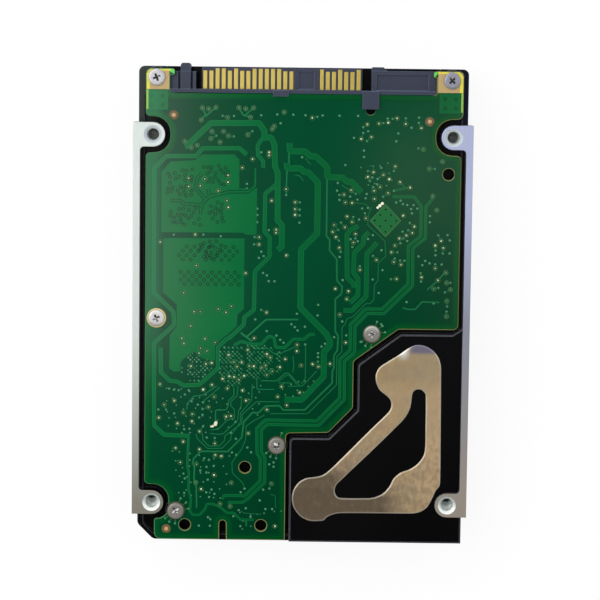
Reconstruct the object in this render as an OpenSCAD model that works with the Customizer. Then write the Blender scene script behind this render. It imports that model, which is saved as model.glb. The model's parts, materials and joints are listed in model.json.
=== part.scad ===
// Hard disk drive of the 2.5-inch enterprise form, lying on its cover with the circuit board up.
// Sizes in mm. The origin is under the middle of the drive on the cover's outer face.
// +Y points to the connector end and +Z leaves the board side.

/* [Envelope] */
// Width over the machined rails
drive_w = 69.85; // [69.2:0.05:70.4]
// Length from the connector guide's tip to the rear end
drive_l = 99.5; // [99:0.1:100.4]
// Height from the cover's outer face to the mounting faces
drive_h = 15; // [14.9:0.1:15.6]

/* [Mounting holes] */
// Hole spacing across the drive
hole_span_x = 61.72; // [61:0.02:62]
// Rear holes ahead of the rear end
hole_rear = 8.2; // [7.8:0.1:9.2]
// Front holes behind the casting's front edge
hole_front = 14; // [13.6:0.1:14.6]
// Minor radius of the M3 threads
mount_hole_r = 1.25; // [1.2:0.05:1.3]
// Depth of the holes in the ears
mount_hole_depth = 3.2; // [2.6:0.1:3.3]
// Width of the bevel at a hole's mouth
mount_bevel = 0.6; // [0.2:0.1:0.8]
// Side hole axis below the mounting faces
side_hole_drop = 3; // [2.9:0.1:3.2]
// Depth of the side holes
side_hole_depth = 2.4; // [1.8:0.1:2.5]
// Outside radius of a mounting ear
ear_r = 2.5; // [2.2:0.1:2.7]

/* [Casting] */
// Width of the painted body between the rails
body_w = 67.8; // [67.4:0.1:68.4]
// Length of the bevelled rear corner
corner_cut = 3.3; // [2:0.1:4]
// Thickness of the rim around the board
rim_t = 1.2; // [0.9:0.1:1.3]
// Thickness of the deck between the discs and the board
deck_t = 1.2; // [1:0.1:1.3]
// Height of a rail's side face
rail_h = 6.5; // [5.6:0.1:7]
// Drop from the mounting faces to the plateau over the actuator
plateau_drop = 0.6; // [0.4:0.1:0.8]
// Step around the plateau's upper edge
plateau_step = 0.25; // [0.1:0.05:0.4]
// Thickness of the foil seal
foil_t = 0.1; // [0.05:0.05:0.2]

/* [Cover] */
// Thickness of the cover
cover_t = 1.2; // [1.1:0.05:1.25]
// Thickness of the squeezed gasket
gasket_t = 0.4; // [0.3:0.05:0.5]
// Width of the gasket's bead
gasket_w = 1.1; // [0.8:0.1:1.2]
// Depth of the cover's pressed shapes
press_d = 0.25; // [0.1:0.05:0.35]
// Height of the step around the cover's outer face
cover_step = 0.35; // [0.2:0.05:0.5]

/* [Circuit board] */
// Thickness of the board
board_t = 0.9; // [0.8:0.05:1]
// Drop from the mounting faces to the board's outer face
board_drop = 0.8; // [0.7:0.05:0.9]
// Space for parts under the board
board_gap = 1.9; // [1.8:0.05:2]
// Head radius of the board screws
board_screw_head_r = 1.75; // [1.5:0.05:1.85]
// Head height of the board screws
board_screw_head_h = 0.55; // [0.4:0.05:0.65]
// Shank radius of the board screws
board_screw_r = 0.75; // [0.6:0.05:0.8]
// Thickness of the large chips
chip_t = 1.1; // [0.9:0.05:1.2]

/* [Connector] */
// Pitch of the contacts
contact_pitch = 1.27; // [1.25:0.01:1.28]
// Width of a contact
contact_w = 0.85; // [0.6:0.05:0.95]
// Thickness of a contact
contact_t = 0.15; // [0.1:0.05:0.2]
// Thickness of the tongue
tongue_t = 1.2; // [1:0.05:1.3]
// Drop from the mounting faces to the tongue's face
tongue_drop = 3.4; // [3.2:0.1:3.6]
// How far the long guide stands out past the casting
guide_out = 0.7; // [0.5:0.1:0.8]

/* [Discs] */
// Diameter of a platter
disc_d = 62; // [60:0.5:62.5]
// Bore of a platter
disc_bore = 20; // [19.6:0.1:20.4]
// Thickness of a platter
disc_t = 0.8; // [0.7:0.05:0.8]
// Space between two platters
disc_gap = 1.75; // [1.7:0.05:1.8]
// Space between the discs and the shroud wall
shroud_gap = 0.8; // [0.6:0.05:0.9]
// Spindle axis ahead of the drive's middle
spindle_y = 10.5; // [10:0.1:10.8]
// Radius of the spindle shaft
shaft_r = 1.75; // [1.5:0.05:1.9]
// Radial running gap of the fluid bearing
bearing_gap = 0.02; // [0.02:0.01:0.06]
// Number of stator teeth
teeth = 9; // [9:3:9]

/* [Actuator] */
// Pivot to head
arm_reach = 33.5; // [33:0.1:34]
// Thickness of an arm between two discs
arm_t = 0.75; // [0.65:0.05:0.8]
// Radius of the arm block around the pivot
arm_hub_r = 5.6; // [5.2:0.1:5.8]
// Radius of the pivot shaft
pivot_r = 1.6; // [1.4:0.05:1.7]
// Heading from the spindle to the pivot, clockwise from +X
pivot_heading = 69.9; // [68:0.1:71]
// Disc radius under the head at the innermost track
track_in_r = 15; // [14.6:0.1:16]
// Disc radius at the parked head
park_r = 32.6; // [32.4:0.1:32.8]
// Thickness of the voice coil
coil_t = 2.1; // [1.8:0.1:2.2]
// Gap between the coil and each magnet
coil_gap = 0.45; // [0.35:0.05:0.5]
// Thickness of a magnet
magnet_t = 1.35; // [1.2:0.05:1.4]
// Thickness of the yoke by the cover
cover_yoke_t = 1.4; // [1.2:0.05:1.5]
// Thickness of the yoke in the deck
deck_yoke_t = 2; // [1.6:0.1:2.2]

/* [Hidden] */
$fn = 48;

// A small amount that carries a cut clear of a face
over = 1;
// Slip between two pieces that are glued or pressed together
slip = 0.02;

// Levels along Z
rim_z = cover_t + gasket_t;
board_top = drive_h - board_drop;
board_z = board_top - board_t;
deck_z = board_z - board_gap;
deck_in_z = deck_z - deck_t;
wall_z = board_z - 0.3;
plateau_z = drive_h - plateau_drop;
tongue_z = drive_h - tongue_drop;
socket_z = tongue_z - tongue_t - 1.8;

// Levels across the plan
front_y = drive_l / 2;
rear_y = -drive_l / 2;
cast_y = front_y - guide_out;
hole_x = hole_span_x / 2;
hole_y1 = cast_y - hole_front;
hole_y0 = rear_y + hole_rear;
body_x = body_w / 2;
rail_in = body_x - 0.4;
board_edge = cast_y - 5.35;

// Disc pack: flange side first, then down to the clamp
spindle = [0, spindle_y];
disc_r = disc_d / 2;
cavity_r = disc_r + shroud_gap;
hub_r = disc_bore / 2 - 0.04;
clamp_r = disc_bore / 2 + 2.2;
cup_r = disc_bore / 2 - 1.65;
flange_z = deck_in_z - 1.5;
function disc_z(i) = flange_z - disc_t - i * (disc_t + disc_gap);
clamp_t = 0.65;
web_top = disc_z(2) + 1.7;
stator_z = flange_z - 1.4;
stator_h = 1.4;
sleeve_r = 3.2;
boss_r = 4.2;
clamp_pcd_r = 6.2;

// Actuator: angles are headings around the pivot
pivot_d = disc_r + arm_hub_r + 1.3;
pivot = spindle + pivot_d * [cos(pivot_heading), -sin(pivot_heading)];
to_spindle = 180 - pivot_heading;
function heading(r) = to_spindle
    + acos((pivot_d * pivot_d + arm_reach * arm_reach - r * r) / (2 * pivot_d * arm_reach));
park_a = heading(park_r);
inner_a = heading(track_in_r);
swing = park_a - inner_a;
coil_a = park_a + 168;
coil_z = (flange_z + disc_z(2)) / 2;
coil_in_r = arm_hub_r + 2.2;
coil_out_r = 16.4;
frame_out_r = 17.4;
frame_half = 25;
magnet_a0 = coil_a - swing - frame_half + 1.5;
magnet_a1 = coil_a + frame_half + 1;
deck_magnet_z = coil_z + coil_t / 2 + coil_gap;
cover_magnet_z = coil_z - coil_t / 2 - coil_gap - magnet_t;
deck_yoke_z = deck_magnet_z + magnet_t;
cover_yoke_z = cover_magnet_z - cover_yoke_t;
yoke_a0 = coil_a - swing - frame_half - 14;
yoke_a1 = coil_a + frame_half + 15;
yoke_in_r = arm_hub_r + 1;
yoke_out_r = frame_out_r + 0.2;
post_r = 1.5;
posts = [pol(pivot, 20.5, -45), pol(pivot, 19, -92), pol(pivot, 16.5, 12)];
stop_r = 1.2;
stops = [pol(pivot, 14, coil_a - swing - frame_half - 6.4), pol(pivot, 14, coil_a + frame_half + 6.4)];
preamp_a = 239;

// Arms: two for the outer faces and one in each space between platters
susp_t = 0.1;
slider_t = 0.25;
fly = 0.15;
head_space = fly + slider_t + susp_t;
end_arm_t = 0.6;
arm_zs = [flange_z + head_space, (disc_z(0) + disc_z(1) + disc_t - arm_t) / 2,
    (disc_z(1) + disc_z(2) + disc_t - arm_t) / 2, disc_z(2) - head_space - end_arm_t];
arm_ts = [end_arm_t, arm_t, arm_t, end_arm_t];
// Each head: the arm face that carries it and the way it looks
heads = [[arm_zs[0], -1], [arm_zs[1] + arm_t, 1], [arm_zs[1], -1], [arm_zs[2] + arm_t, 1],
    [arm_zs[2], -1], [arm_zs[3] + end_arm_t, 1]];

// Where things stand on the plan, X and Y
conn_l = -27.4;
conn_r = 27.2;
board_screw_xy = [[conn_l - 2.78, cast_y - 2.3], [conn_r + 3.17, cast_y - 2.35], [-body_x + 3.88, -2.9],
    [14.7, -5.75], [-4.8, -29.35], [-hole_x + 5.06, hole_y0 - 1.85]];
board_hole_xy = [[body_x - 3.91, 27.5], [-11.4, rear_y + 15.65], [-hole_x + 6.96, rear_y + 3.35],
    [-7.95, rear_y + 3.35]];
board_hole_r = 1.2;
cover_x = body_x - 3;
cover_screw_xy = [[-cover_x + 0.3, cast_y - 3.45], [cover_x - 0.3, cast_y - 3.45], [0, cast_y - 3.05],
    [-cover_x, 31.5], [cover_x, 31.5], [-cover_x, -10.5], [cover_x, -10.5],
    [-cover_x + 0.5, rear_y + 3.45], [cover_x - 0.5, rear_y + 3.45], pivot];
cover_screw_r = 0.8;
cover_head_r = 1.8;
cover_head_h = 0.6;
cover_sink = 0.75;
controller_xy = [-11.5, -13.5];
memory_xy = [-19, 6];
driver_xy = [17.4, 17.9];
flash_xy = [23, 1.5];
bracket_xy = pivot + [-21.52, -12.91];
breather_xy = [-17, rear_y + 7.75];
ramp_a = park_a + 5.5;
ramp_xy = pol(pivot, arm_reach + 2, ramp_a);

// Helpers
function pol(c, r, a) = c + r * [cos(a), sin(a)];
function unit(v) = v / norm(v);
// Arc points that round corner q, a [x, y, radius], between its neighbours p and s
function corner(p, q, s) =
    let (c = [q[0], q[1]], a = unit([p[0], p[1]] - c), b = unit([s[0], s[1]] - c))
    let (half = acos(max(-1, min(1, a * b))) / 2)
    (q[2] == 0 || half > 89) ? [c] :
    let (m = c + unit(a + b) * q[2] / sin(half), t = q[2] / tan(half))
    let (u = c + a * t - m, v = c + b * t - m)
    let (a0 = atan2(u[1], u[0]), d0 = atan2(v[1], v[0]) - a0)
    let (d = d0 > 180 ? d0 - 360 : (d0 < -180 ? d0 + 360 : d0), n = max(1, ceil(abs(d) / 18)))
    [for (i = [0:n]) pol(m, q[2], a0 + d * i / n)];
function rounded(pts) = let (k = len(pts))
    [for (i = [0:k - 1]) each corner(pts[(i + k - 1) % k], pts[i], pts[(i + 1) % k])];
// Outline of a slice of a ring
function slice(r0, r1, a0, a1, n = 10) = concat(
    [for (i = [0:n]) pol([0, 0], r1, a0 + (a1 - a0) * i / n)],
    [for (i = [0:n]) pol([0, 0], r0, a1 + (a0 - a1) * i / n)]);
// Sharp-cornered outline drawn in by d; a corner's third value, its radius, is kept
function drawn_in(pts, d) = let (k = len(pts)) [for (i = [0:k - 1])
    let (p = pts[(i + k - 1) % k], q = pts[i], s = pts[(i + 1) % k])
    let (u = unit([q[0] - p[0], q[1] - p[1]]), v = unit([s[0] - q[0], s[1] - q[1]]))
    let (m = [-u[1], u[0]], n = [-v[1], v[0]], e = (m + n) * d / (1 + m * n))
    [q[0] + e[0], q[1] + e[1], q[2]]];
// Outline of the casting drawn in by d
function cast_pts(d) = [[-body_x + d, cast_y - d, 1.2], [body_x - d, cast_y - d, 1.2],
    [body_x - d, rear_y + d, 0.6], [-body_x + corner_cut + 0.414 * d, rear_y + d, 1.5],
    [-body_x + d, rear_y + corner_cut + 0.414 * d, 1.5]];

// Outline of the board, from its left tab round by the connector
board_l = -body_x + 1.5;
board_r = body_x - 1.1;
board_pts = [[board_l, cast_y - 0.45, 1.2], [conn_l + 1, cast_y - 0.45, 0.8], [conn_l + 1, cast_y - 1.85, 0.5],
    [conn_l - 0.05, cast_y - 1.85, 0.3], [conn_l - 0.05, board_edge, 0.3],
    [conn_r + 0.05, board_edge, 0.3], [conn_r + 0.05, cast_y - 1.8, 0.2], [conn_r - 0.65, cast_y - 1.8, 0.3],
    [conn_r - 0.65, cast_y - 0.45, 0.8],
    [board_r, cast_y - 0.45, 1], [board_r, hole_y1 + 3.75, 1.1], [hole_x - 3.55, hole_y1 + 3.55, 3.3],
    [hole_x - 3.55, hole_y1 - 3.55, 3.3], [board_r - 0.2, hole_y1 - 3.75, 0.9],
    [board_r - 0.2, -4.75, 1.1],
    [20.2, -4.75, 0.8], [11, -11.5, 0.9], [11, -21.3, 1], [5.9, -26.6, 0.9], [-2.9, -26.8, 0.9],
    [-2.9, rear_y + 0.25, 0.3], [-15.25, rear_y + 0.25, 0.2], [-15.25, rear_y + 4.35, 0.7],
    [-16.67, rear_y + 4.35, 0.7], [-16.67, rear_y + 0.25, 0.2], [board_l + 2.1, rear_y + 0.25, 1.4],
    [board_l + 2.1, hole_y0 - 3.6, 0.4], [-hole_x + 3.55, hole_y0 - 3.6, 2.5],
    [-hole_x + 3.55, hole_y0 + 3.55, 3.3], [board_l, hole_y0 + 3.75, 0.9],
    [board_l, hole_y1 - 3.75, 0.9], [-hole_x + 3.55, hole_y1 - 3.55, 3.3],
    [-hole_x + 3.55, hole_y1 + 3.55, 3.3], [board_l, hole_y1 + 3.75, 0.9]];

// Outline of the plateau over the actuator
plateau_pts = [[body_x, -4.2, 0], [body_x - 2.5, -5.75, 0.8], [20.7, -5.75, 0.8], [11.95, -12.2, 0.8],
    [11.95, -21.8, 0.8], [6.05, -27.75, 0.8], [-2.1, -27.75, 0.8], [-2.1, rear_y, 0],
    [body_x, rear_y, 0]];

// Outlines of the foil seal: its outside and its opening
foil_r = pivot[0] + 16.33;
foil_y = rear_y + 6.25;
foil_out_pts = [[24.2, -7.4, 2.2], [foil_r, -9.4, 3.2], [foil_r, foil_y + 5.2, 0.9],
    [foil_r - 1.45, foil_y + 3.9, 0.7], [foil_r - 1.45, foil_y, 2.6], [8.2, foil_y, 1.4],
    [3.4, foil_y - 3.6, 4.4], [-3.1, foil_y + 2.8, 4.2], [3.4, foil_y + 9.3, 3.2],
    [18.9, -21.6, 1.8], [18.4, -18.9, 1.6], [15.4, -16.7, 1.8], [15.5, -12.1, 1.8], [20.9, -9.6, 1.2]];
foil_in_pts = [[23.15, -17.2, 1.45], [foil_r - 3.2, -17.2, 1.45], [foil_r - 3.2, foil_y + 10.9, 2.6],
    [20.8, foil_y + 8.6, 2.4], [18.3, foil_y + 3.3, 2], [7.0, foil_y + 3.3, 1.6], [7.2, foil_y + 5.3, 0.6], [21.7, -23.3, 1.6], [23.15, -20.6, 1.6]];

module box(a, b) { translate(a) cube(b - a); }

module at(xy, z = 0) { translate([xy[0], xy[1], z]) children(); }

module tube(ro, ri, h) {
    difference() {
        cylinder(r = ro, h = h);
        translate([0, 0, -over]) cylinder(r = ri, h = h + 2 * over);
    }
}

// Screw with a six-point drive; its head's seat lies at z = 0 and its shank hangs below
module screw(head_r, head_h, shank_r, shank_l) {
    difference() {
        union() {
            rotate_extrude() polygon([[0, 0], [head_r, 0], [head_r, head_h * 0.5],
                [head_r * 0.8, head_h * 0.9], [head_r * 0.66, head_h], [0, head_h]]);
            translate([0, 0, -shank_l]) cylinder(r = shank_r, h = shank_l + head_h / 2);
        }
        for (a = [0:60:120]) rotate([0, 0, a])
            translate([-0.55 * head_r, -0.14 * head_r, head_h * 0.4])
                cube([1.1 * head_r, 0.28 * head_r, head_h]);
    }
}

module slice_plate(r0, r1, a0, a1, h) { linear_extrude(h) polygon(slice(r0, r1, a0, a1)); }

// Mounting ear seen from above, for the right rail's front end
module ear_plan() {
    reach = rail_in - hole_x;
    polygon(rounded([[reach + 0.2, ear_r, 0], [-ear_r, ear_r, ear_r * 0.98],
        [-ear_r, -ear_r, ear_r * 0.98], [reach, -ear_r, 0.8], [reach, -ear_r - 0.9, 0],
        [reach + 0.2, -ear_r - 0.9, 0]]));
}

module ears() {
    for (sx = [0, 1], sy = [0, 1])
        mirror([sx, 0, 0])
            translate([hole_x, sy ? hole_y0 : hole_y1, 0])
                mirror([0, sy, 0]) ear_plan();
}

module rear_hollow() {
    x0 = -body_x + 2.2;
    x1 = pivot[0] + 18.68;
    y0 = rear_y + 2.15;
    linear_extrude(deck_in_z) polygon(rounded([[x0, y0, 2.5], [x1, y0, 2.5], [x1, -14, 2.5], [-8, -14, 0],
        [-8, -9, 0], [-26.6, -9, 1.5], [-26.6, -14, 0.5], [x0, -14, 2.5]]));
}

module base_casting() {
    color("#15161a") difference() {
        union() {
            difference() {
                union() {
                    translate([0, 0, rim_z]) linear_extrude(wall_z - rim_z) polygon(rounded(cast_pts(0)));
                    translate([0, 0, deck_z - 0.5]) linear_extrude(plateau_z - plateau_step - deck_z + 0.5)
                        polygon(rounded(plateau_pts));
                    translate([0, 0, deck_z - 0.5]) linear_extrude(plateau_z - deck_z + 0.5)
                        polygon(rounded(drawn_in(plateau_pts, plateau_step)));
                }
                // recess for the board's parts
                translate([0, 0, deck_z]) linear_extrude(drive_h) difference() {
                    polygon(rounded([[-body_x + rim_t, board_edge - 0.2, 0.5],
                        [body_x - rim_t, board_edge - 0.2, 0.5], [body_x - rim_t, rear_y + rim_t, 0.5],
                        [-body_x + corner_cut, rear_y + rim_t, 1], [-body_x + rim_t, rear_y + corner_cut, 1]]));
                    polygon(rounded(plateau_pts));
                }
                // mating space of the connector
                box([conn_l - 0.8, board_edge - 0.3, socket_z], [conn_r + 0.8, front_y + over, drive_h + over]);
                // discs and actuator
                at(spindle, rim_z - over) cylinder(r = cavity_r, h = deck_in_z - rim_z + over);
                difference() {
                    translate([0, 0, rim_z - over]) rear_hollow();
                    translate([0, 0, deck_in_z]) cylinder(r = drive_l, h = drive_h);
                    for (i = [7, 8]) at(cover_screw_xy[i]) cylinder(r = 2.6, h = drive_h);
                }
            }
            // machined rails and ears
            for (s = [-1, 1])
                box([s > 0 ? rail_in : -drive_w / 2, hole_y0 - ear_r, drive_h - rail_h],
                    [s > 0 ? drive_w / 2 : -rail_in, hole_y1 + ear_r, drive_h]);
            translate([0, 0, deck_z - 0.4]) linear_extrude(drive_h - deck_z + 0.4) ears();
            // bosses under the board
            for (p = board_screw_xy) at(p, deck_z - 0.4) cylinder(r = 2.2, h = board_z - deck_z + 0.4);
            // boss of the motor's bearing with the stator's seat
            at(spindle, stator_z - 0.3) cylinder(r = boss_r, h = deck_z - stator_z + 0.3);
            at(spindle, stator_z + stator_h) cylinder(r = boss_r + 0.7, h = deck_z - stator_z - stator_h);
        }
        for (sx = [-1, 1], y = [hole_y0, hole_y1]) {
            translate([sx * hole_x, y, drive_h - mount_hole_depth])
                cylinder(r = mount_hole_r, h = mount_hole_depth + over);
            translate([sx * hole_x, y, drive_h - mount_bevel])
                cylinder(r1 = mount_hole_r, r2 = mount_hole_r + mount_bevel, h = mount_bevel);
            translate([sx * (drive_w / 2 - side_hole_depth), y, drive_h - side_hole_drop])
                rotate([0, sx * 90, 0]) cylinder(r = mount_hole_r, h = side_hole_depth + over);
        }
        for (p = board_screw_xy) at(p, board_z - 2.4) cylinder(r = board_screw_r + 0.05, h = 5);
        for (i = [0:8]) at(cover_screw_xy[i], rim_z - over) cylinder(r = cover_screw_r + 0.05, h = 5.6);
        // bearing sleeve, and the lead hole of the motor
        at(spindle, 0) cylinder(r = sleeve_r + slip, h = drive_h);
        at(spindle + [6, 0], deck_in_z - over) cylinder(r = 0.7, h = deck_t + 2 * over);
        // pivot stud, yoke seat and yoke screws
        at(pivot, deck_in_z - over) cylinder(r = 1.2 + slip, h = 3.6);
        at(pivot, deck_in_z - over) linear_extrude(deck_yoke_z + deck_yoke_t - deck_in_z + over) yoke_plan(0.3);
        for (p = posts) at(p, deck_in_z - over) cylinder(r = 0.75, h = 3.4);
        // ramp screw, bracket screws and the way through for the head connector
        at(ramp_xy, deck_in_z - over) cylinder(r = 0.55, h = over + 0.9);
        for (s = [-1, 1]) at(bracket_xy + [s * 6.2, 0], deck_in_z - over) cylinder(r = 0.55, h = over + 0.9);
        at(bracket_xy, deck_in_z - over) box([-4.6, -1.9, 0], [4.6, 1.9, deck_t + 2 * over]);
        // ports that the foil seals, and the breather
        at([22.3, -12.8], deck_in_z - over) cylinder(r = 1.6, h = 8);
        at([3.2, foil_y + 2.9], deck_in_z - over) cylinder(r = 1.6, h = 8);
        at(breather_xy, deck_in_z - over) cylinder(r = 0.5, h = deck_t + 2 * over);
    }
}

module top_cover() {
    color("#9a9da1") difference() {
        union() {
            translate([0, 0, cover_step]) linear_extrude(cover_t - cover_step) polygon(rounded(cast_pts(0.15)));
            linear_extrude(cover_t / 2) polygon(rounded(cast_pts(0.8)));
        }
        for (p = cover_screw_xy) at(p, -over) {
            cylinder(r = cover_head_r + 0.2, h = over + cover_sink);
            cylinder(r = cover_screw_r + 0.2, h = cover_t + 2 * over);
        }
        // pressed ring over the discs and pressed panel over the actuator
        at(spindle, -over) tube(disc_r * 0.87, disc_r * 0.3, over + press_d);
        translate([0, 0, -over]) linear_extrude(over + press_d) polygon(rounded([[pivot[0] - 27, rear_y + 4.6, 3],
            [body_x - 8, rear_y + 4.6, 3], [body_x - 8, pivot[1] + 7, 1.6], [body_x - 13, pivot[1] + 7, 1.6],
            [pivot[0] + 4.6, pivot[1] - 4, 3], [pivot[0] - 8, pivot[1] - 4, 3], [pivot[0] - 27, pivot[1] - 11, 3]]));
    }
}

module cover_gasket() {
    color("#2a2a2c") translate([0, 0, cover_t]) linear_extrude(gasket_t) difference() {
        polygon(rounded(cast_pts(0.45)));
        polygon(rounded(cast_pts(0.45 + gasket_w)));
    }
}

module cover_screws() {
    color("#8d9095") for (i = [0:9]) at(cover_screw_xy[i], cover_sink) rotate([180, 0, 0])
        screw(cover_head_r, cover_head_h, cover_screw_r, i == 9 ? 2.6 : 4.6);
}

module circuit_board() {
    color("#0b5a35") translate([0, 0, board_z]) difference() {
        linear_extrude(board_t) polygon(rounded(board_pts));
        for (p = board_screw_xy) at(p, -over) cylinder(r = board_screw_r + 0.15, h = 4);
        for (p = board_hole_xy) at(p, -over) cylinder(r = board_hole_r, h = 4);
        at([13.75, board_edge - 3.2], -over) cylinder(r = 0.95, h = 4);
    }
}

module board_screws() {
    color("#b9bbbe") for (p = board_screw_xy) at(p, board_top)
        screw(board_screw_head_r, board_screw_head_h, board_screw_r, 3);
}

module chip(xy, size, t, a = 0) { at(xy, board_z - t) rotate([0, 0, a]) translate([-size[0] / 2, -size[1] / 2, 0])
    cube([size[0], size[1], t]); }

module controller_chip() { color("#232427") chip(controller_xy, [13, 13], chip_t); }

module memory_chip() { color("#26272a") chip(memory_xy, [8, 11], chip_t); }

module motor_driver_chip() { color("#232427") chip(driver_xy, [7.5, 7.5], chip_t, 45); }

module flash_chip() { color("#2a2b2e") chip(flash_xy, [6, 5], chip_t - 0.2); }

module board_passives() {
    color("#8a6a45") {
        for (i = [0:6], s = [-1, 1]) chip(controller_xy + [(i - 3) * 1.9, s * 8], [1, 0.6], 0.5);
        for (i = [0:4]) chip(memory_xy + [5.6, (i - 2) * 2], [0.6, 1], 0.5);
        for (i = [0:3]) chip(driver_xy + [-9, (i - 1.5) * 4], [2.5, 2], 1.1);
        for (i = [0:2]) chip([-24 + i * 5, 27], [3.6, 3.4], 1.2);
        for (i = [0:7]) chip([-14 + i * 3.2, 37.5], [1, 0.6], 0.5);
    }
}

module thermal_pads() {
    color("#8fa3b8") {
        at(controller_xy, deck_z) box([-5.5, -5.5, 0], [5.5, 5.5, board_gap - chip_t]);
        at(driver_xy, deck_z) rotate([0, 0, 45]) box([-3, -3, 0], [3, 3, board_gap - chip_t]);
    }
}

module head_connector() {
    color("#d8d2c0") at(bracket_xy) box([-4.4, -1.7, deck_in_z], [4.4, 1.7, board_z]);
}

module motor_flex() {
    color("#b8722c") at(spindle, deck_z) linear_extrude(0.15) difference() {
        translate([5, -2]) square([13, 4]);
        translate([6, 0]) circle(r = 0.7);
    }
}

module motor_contact_block() {
    color("#d8d2c0") at(spindle + [14.5, 0], deck_z + 0.15) box([-2.5, -1.7, 0], [2.5, 1.7, board_gap - 0.15]);
}

// Guide nose between x0 and x1, its tip bevelled by c0 and c1
module nose(x0, x1, y0, y1, c0, c1) {
    translate([0, 0, tongue_z - 2.4]) linear_extrude(3.6)
        polygon([[x0, y0], [x1, y0], [x1, y1 - c1], [x1 - c1, y1], [x0 + c0, y1], [x0, y1 - c0]]);
}

module connector_housing() {
    y0 = board_edge + 0.05;
    y1 = cast_y - 0.5;
    color("#2f3448") difference() {
        union() {
            box([conn_l, y0, socket_z + 0.8], [conn_r, y0 + 0.7, board_top + 0.1]);
            // left guide with its long nose
            box([conn_l, y0, socket_z], [conn_l + 5.2, y1 - 0.5, board_z - 0.1]);
            nose(-25.35, -23.3, y0, front_y, 0.35, 0.35);
            // right guide and block
            box([13.9, y0, socket_z], [conn_r, y1, board_z - 0.1]);
            nose(13.9, 17.1, y0, front_y - 0.45, 0.25, 0.75);
            // tongue with the plain bridge between its two rows
            box([-21.05, y0, tongue_z - tongue_t], [12, cast_y - 0.2, tongue_z]);
            box([-2.1, y0, tongue_z - tongue_t], [3.05, cast_y - 0.2, tongue_z + 0.5]);
            // clips over the board's edge
            box([-6.3, y0 - 0.65, board_top], [-3.1, y0 + 0.6, board_top + 0.45]);
            box([12.05, y0 - 3.05, board_top], [15.45, y0 + 0.6, board_top + 0.45]);
            // foot under the board
            box([-22, y0 - 2.5, deck_z + 0.1], [13, y0 + 0.3, board_z]);
        }
        box([-25.85, y0 + 0.7, board_z - 1.4], [-25.35, front_y, board_z]);
        box([-23.3, y0 + 0.7, board_z - 1.4], [-22.75, front_y, board_z]);
        box([-1.1, y0 + 0.9, tongue_z + 0.2], [2.1, cast_y - 0.9, board_z]);
        box([14.9, y0 + 0.85, board_z - 0.6], [25.6, y1 - 0.75, board_z]);
    }
}

// Contact lengths by place: 1 reaches further to the tongue's edge than 0
power_long = [0, 0, 1, 1, 0, 1, 0, 0, 1, 1, 1, 1, 1, 0, 0];
signal_long = [1, 0, 0, 1, 0, 0, 1];

module contact(x, far) {
    box([x - contact_w / 2, board_edge + 0.75, tongue_z],
        [x + contact_w / 2, cast_y - (far ? 0.35 : 0.8), tongue_z + contact_t]);
}

module connector_contacts() {
    color("#d9b23c") {
        for (i = [0:14]) contact(-11.46 + (i - 7) * contact_pitch, power_long[i] == 1);
        for (i = [0:6]) contact(7.45 + (i - 3) * contact_pitch, signal_long[i] == 1);
        // second port, on the tongue's other face
        for (i = [0:6]) translate([0.48 + (i - 3) * 0.8, 0, tongue_z - tongue_t - contact_t])
            box([-0.25, board_edge + 0.75, 0], [0.25, cast_y - 0.5, contact_t]);
    }
}

module foil_seal() {
    color("#b5a68c") translate([0, 0, plateau_z]) linear_extrude(foil_t) difference() {
        polygon(rounded(foil_out_pts));
        polygon(rounded(foil_in_pts));
    }
}

module bearing_sleeve() {
    color("#b59a5a") at(spindle, web_top + 0.3) difference() {
        cylinder(r = sleeve_r, h = deck_z - 0.4 - web_top - 0.3);
        translate([0, 0, -over]) cylinder(r = shaft_r + bearing_gap, h = drive_h);
        translate([0, 0, deck_in_z - 0.2 - web_top - 0.3]) cylinder(r = 2.6, h = drive_h);
    }
}

module bearing_cap() {
    color("#a7a9ac") at(spindle, deck_in_z + 0.4) cylinder(r = 2.6 - slip, h = deck_z - 0.8 - deck_in_z);
}

module stator_core() {
    color("#6d6f73") at(spindle, stator_z) linear_extrude(stator_h) difference() {
        union() {
            circle(r = 5);
            for (i = [0:teeth - 1]) rotate([0, 0, i * 360 / teeth]) {
                translate([4.8, -0.45]) square([1.8, 0.9]);
                polygon(slice(6.35, 7, -14, 14, 4));
            }
        }
        circle(r = boss_r + slip);
    }
}

module stator_coils() {
    color("#b3672a") for (i = [0:teeth - 1]) at(spindle, 0) rotate([0, 0, i * 360 / teeth]) difference() {
        box([5.15, -0.95, stator_z - 0.4], [6.2, 0.95, stator_z + stator_h + 0.4]);
        box([5, -0.45 - slip, stator_z - slip], [6.4, 0.45 + slip, stator_z + stator_h + slip]);
    }
}

module spindle_hub() {
    color("#b8babd") at(spindle, disc_z(2)) difference() {
        union() {
            cylinder(r = hub_r, h = flange_z - disc_z(2) + 0.4);
            translate([0, 0, flange_z - disc_z(2)]) cylinder(r = clamp_r - 0.2, h = 0.55);
        }
        translate([0, 0, web_top - disc_z(2)]) cylinder(r = cup_r, h = drive_h);
        translate([0, 0, -over]) cylinder(r = shaft_r + slip / 2, h = drive_h);
        for (a = [30:60:330]) rotate([0, 0, a]) translate([clamp_pcd_r, 0, -over]) cylinder(r = 0.6, h = 2.4);
    }
}

module spindle_shaft() {
    color("#a7a9ac") at(spindle, disc_z(2)) {
        cylinder(r = shaft_r, h = deck_in_z + 0.35 - disc_z(2));
        translate([0, 0, deck_in_z - 0.15 - disc_z(2)]) cylinder(r = 2.4, h = 0.5);
    }
}

module rotor_magnet() {
    color("#4a4c50") at(spindle, stator_z - 0.9) tube(cup_r - slip, cup_r - 1.05, stator_h + 1.3);
}

module platter(i) {
    color("#c9cbce") at(spindle, disc_z(i)) tube(disc_r, disc_bore / 2, disc_t);
}

module platter_1() { platter(0); }

module platter_2() { platter(1); }

module platter_3() { platter(2); }

module spacer(i) {
    color("#a9abae") at(spindle, disc_z(i + 1) + disc_t) tube(clamp_r - 0.1, disc_bore / 2, disc_gap);
}

module spacer_1() { spacer(0); }

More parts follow.
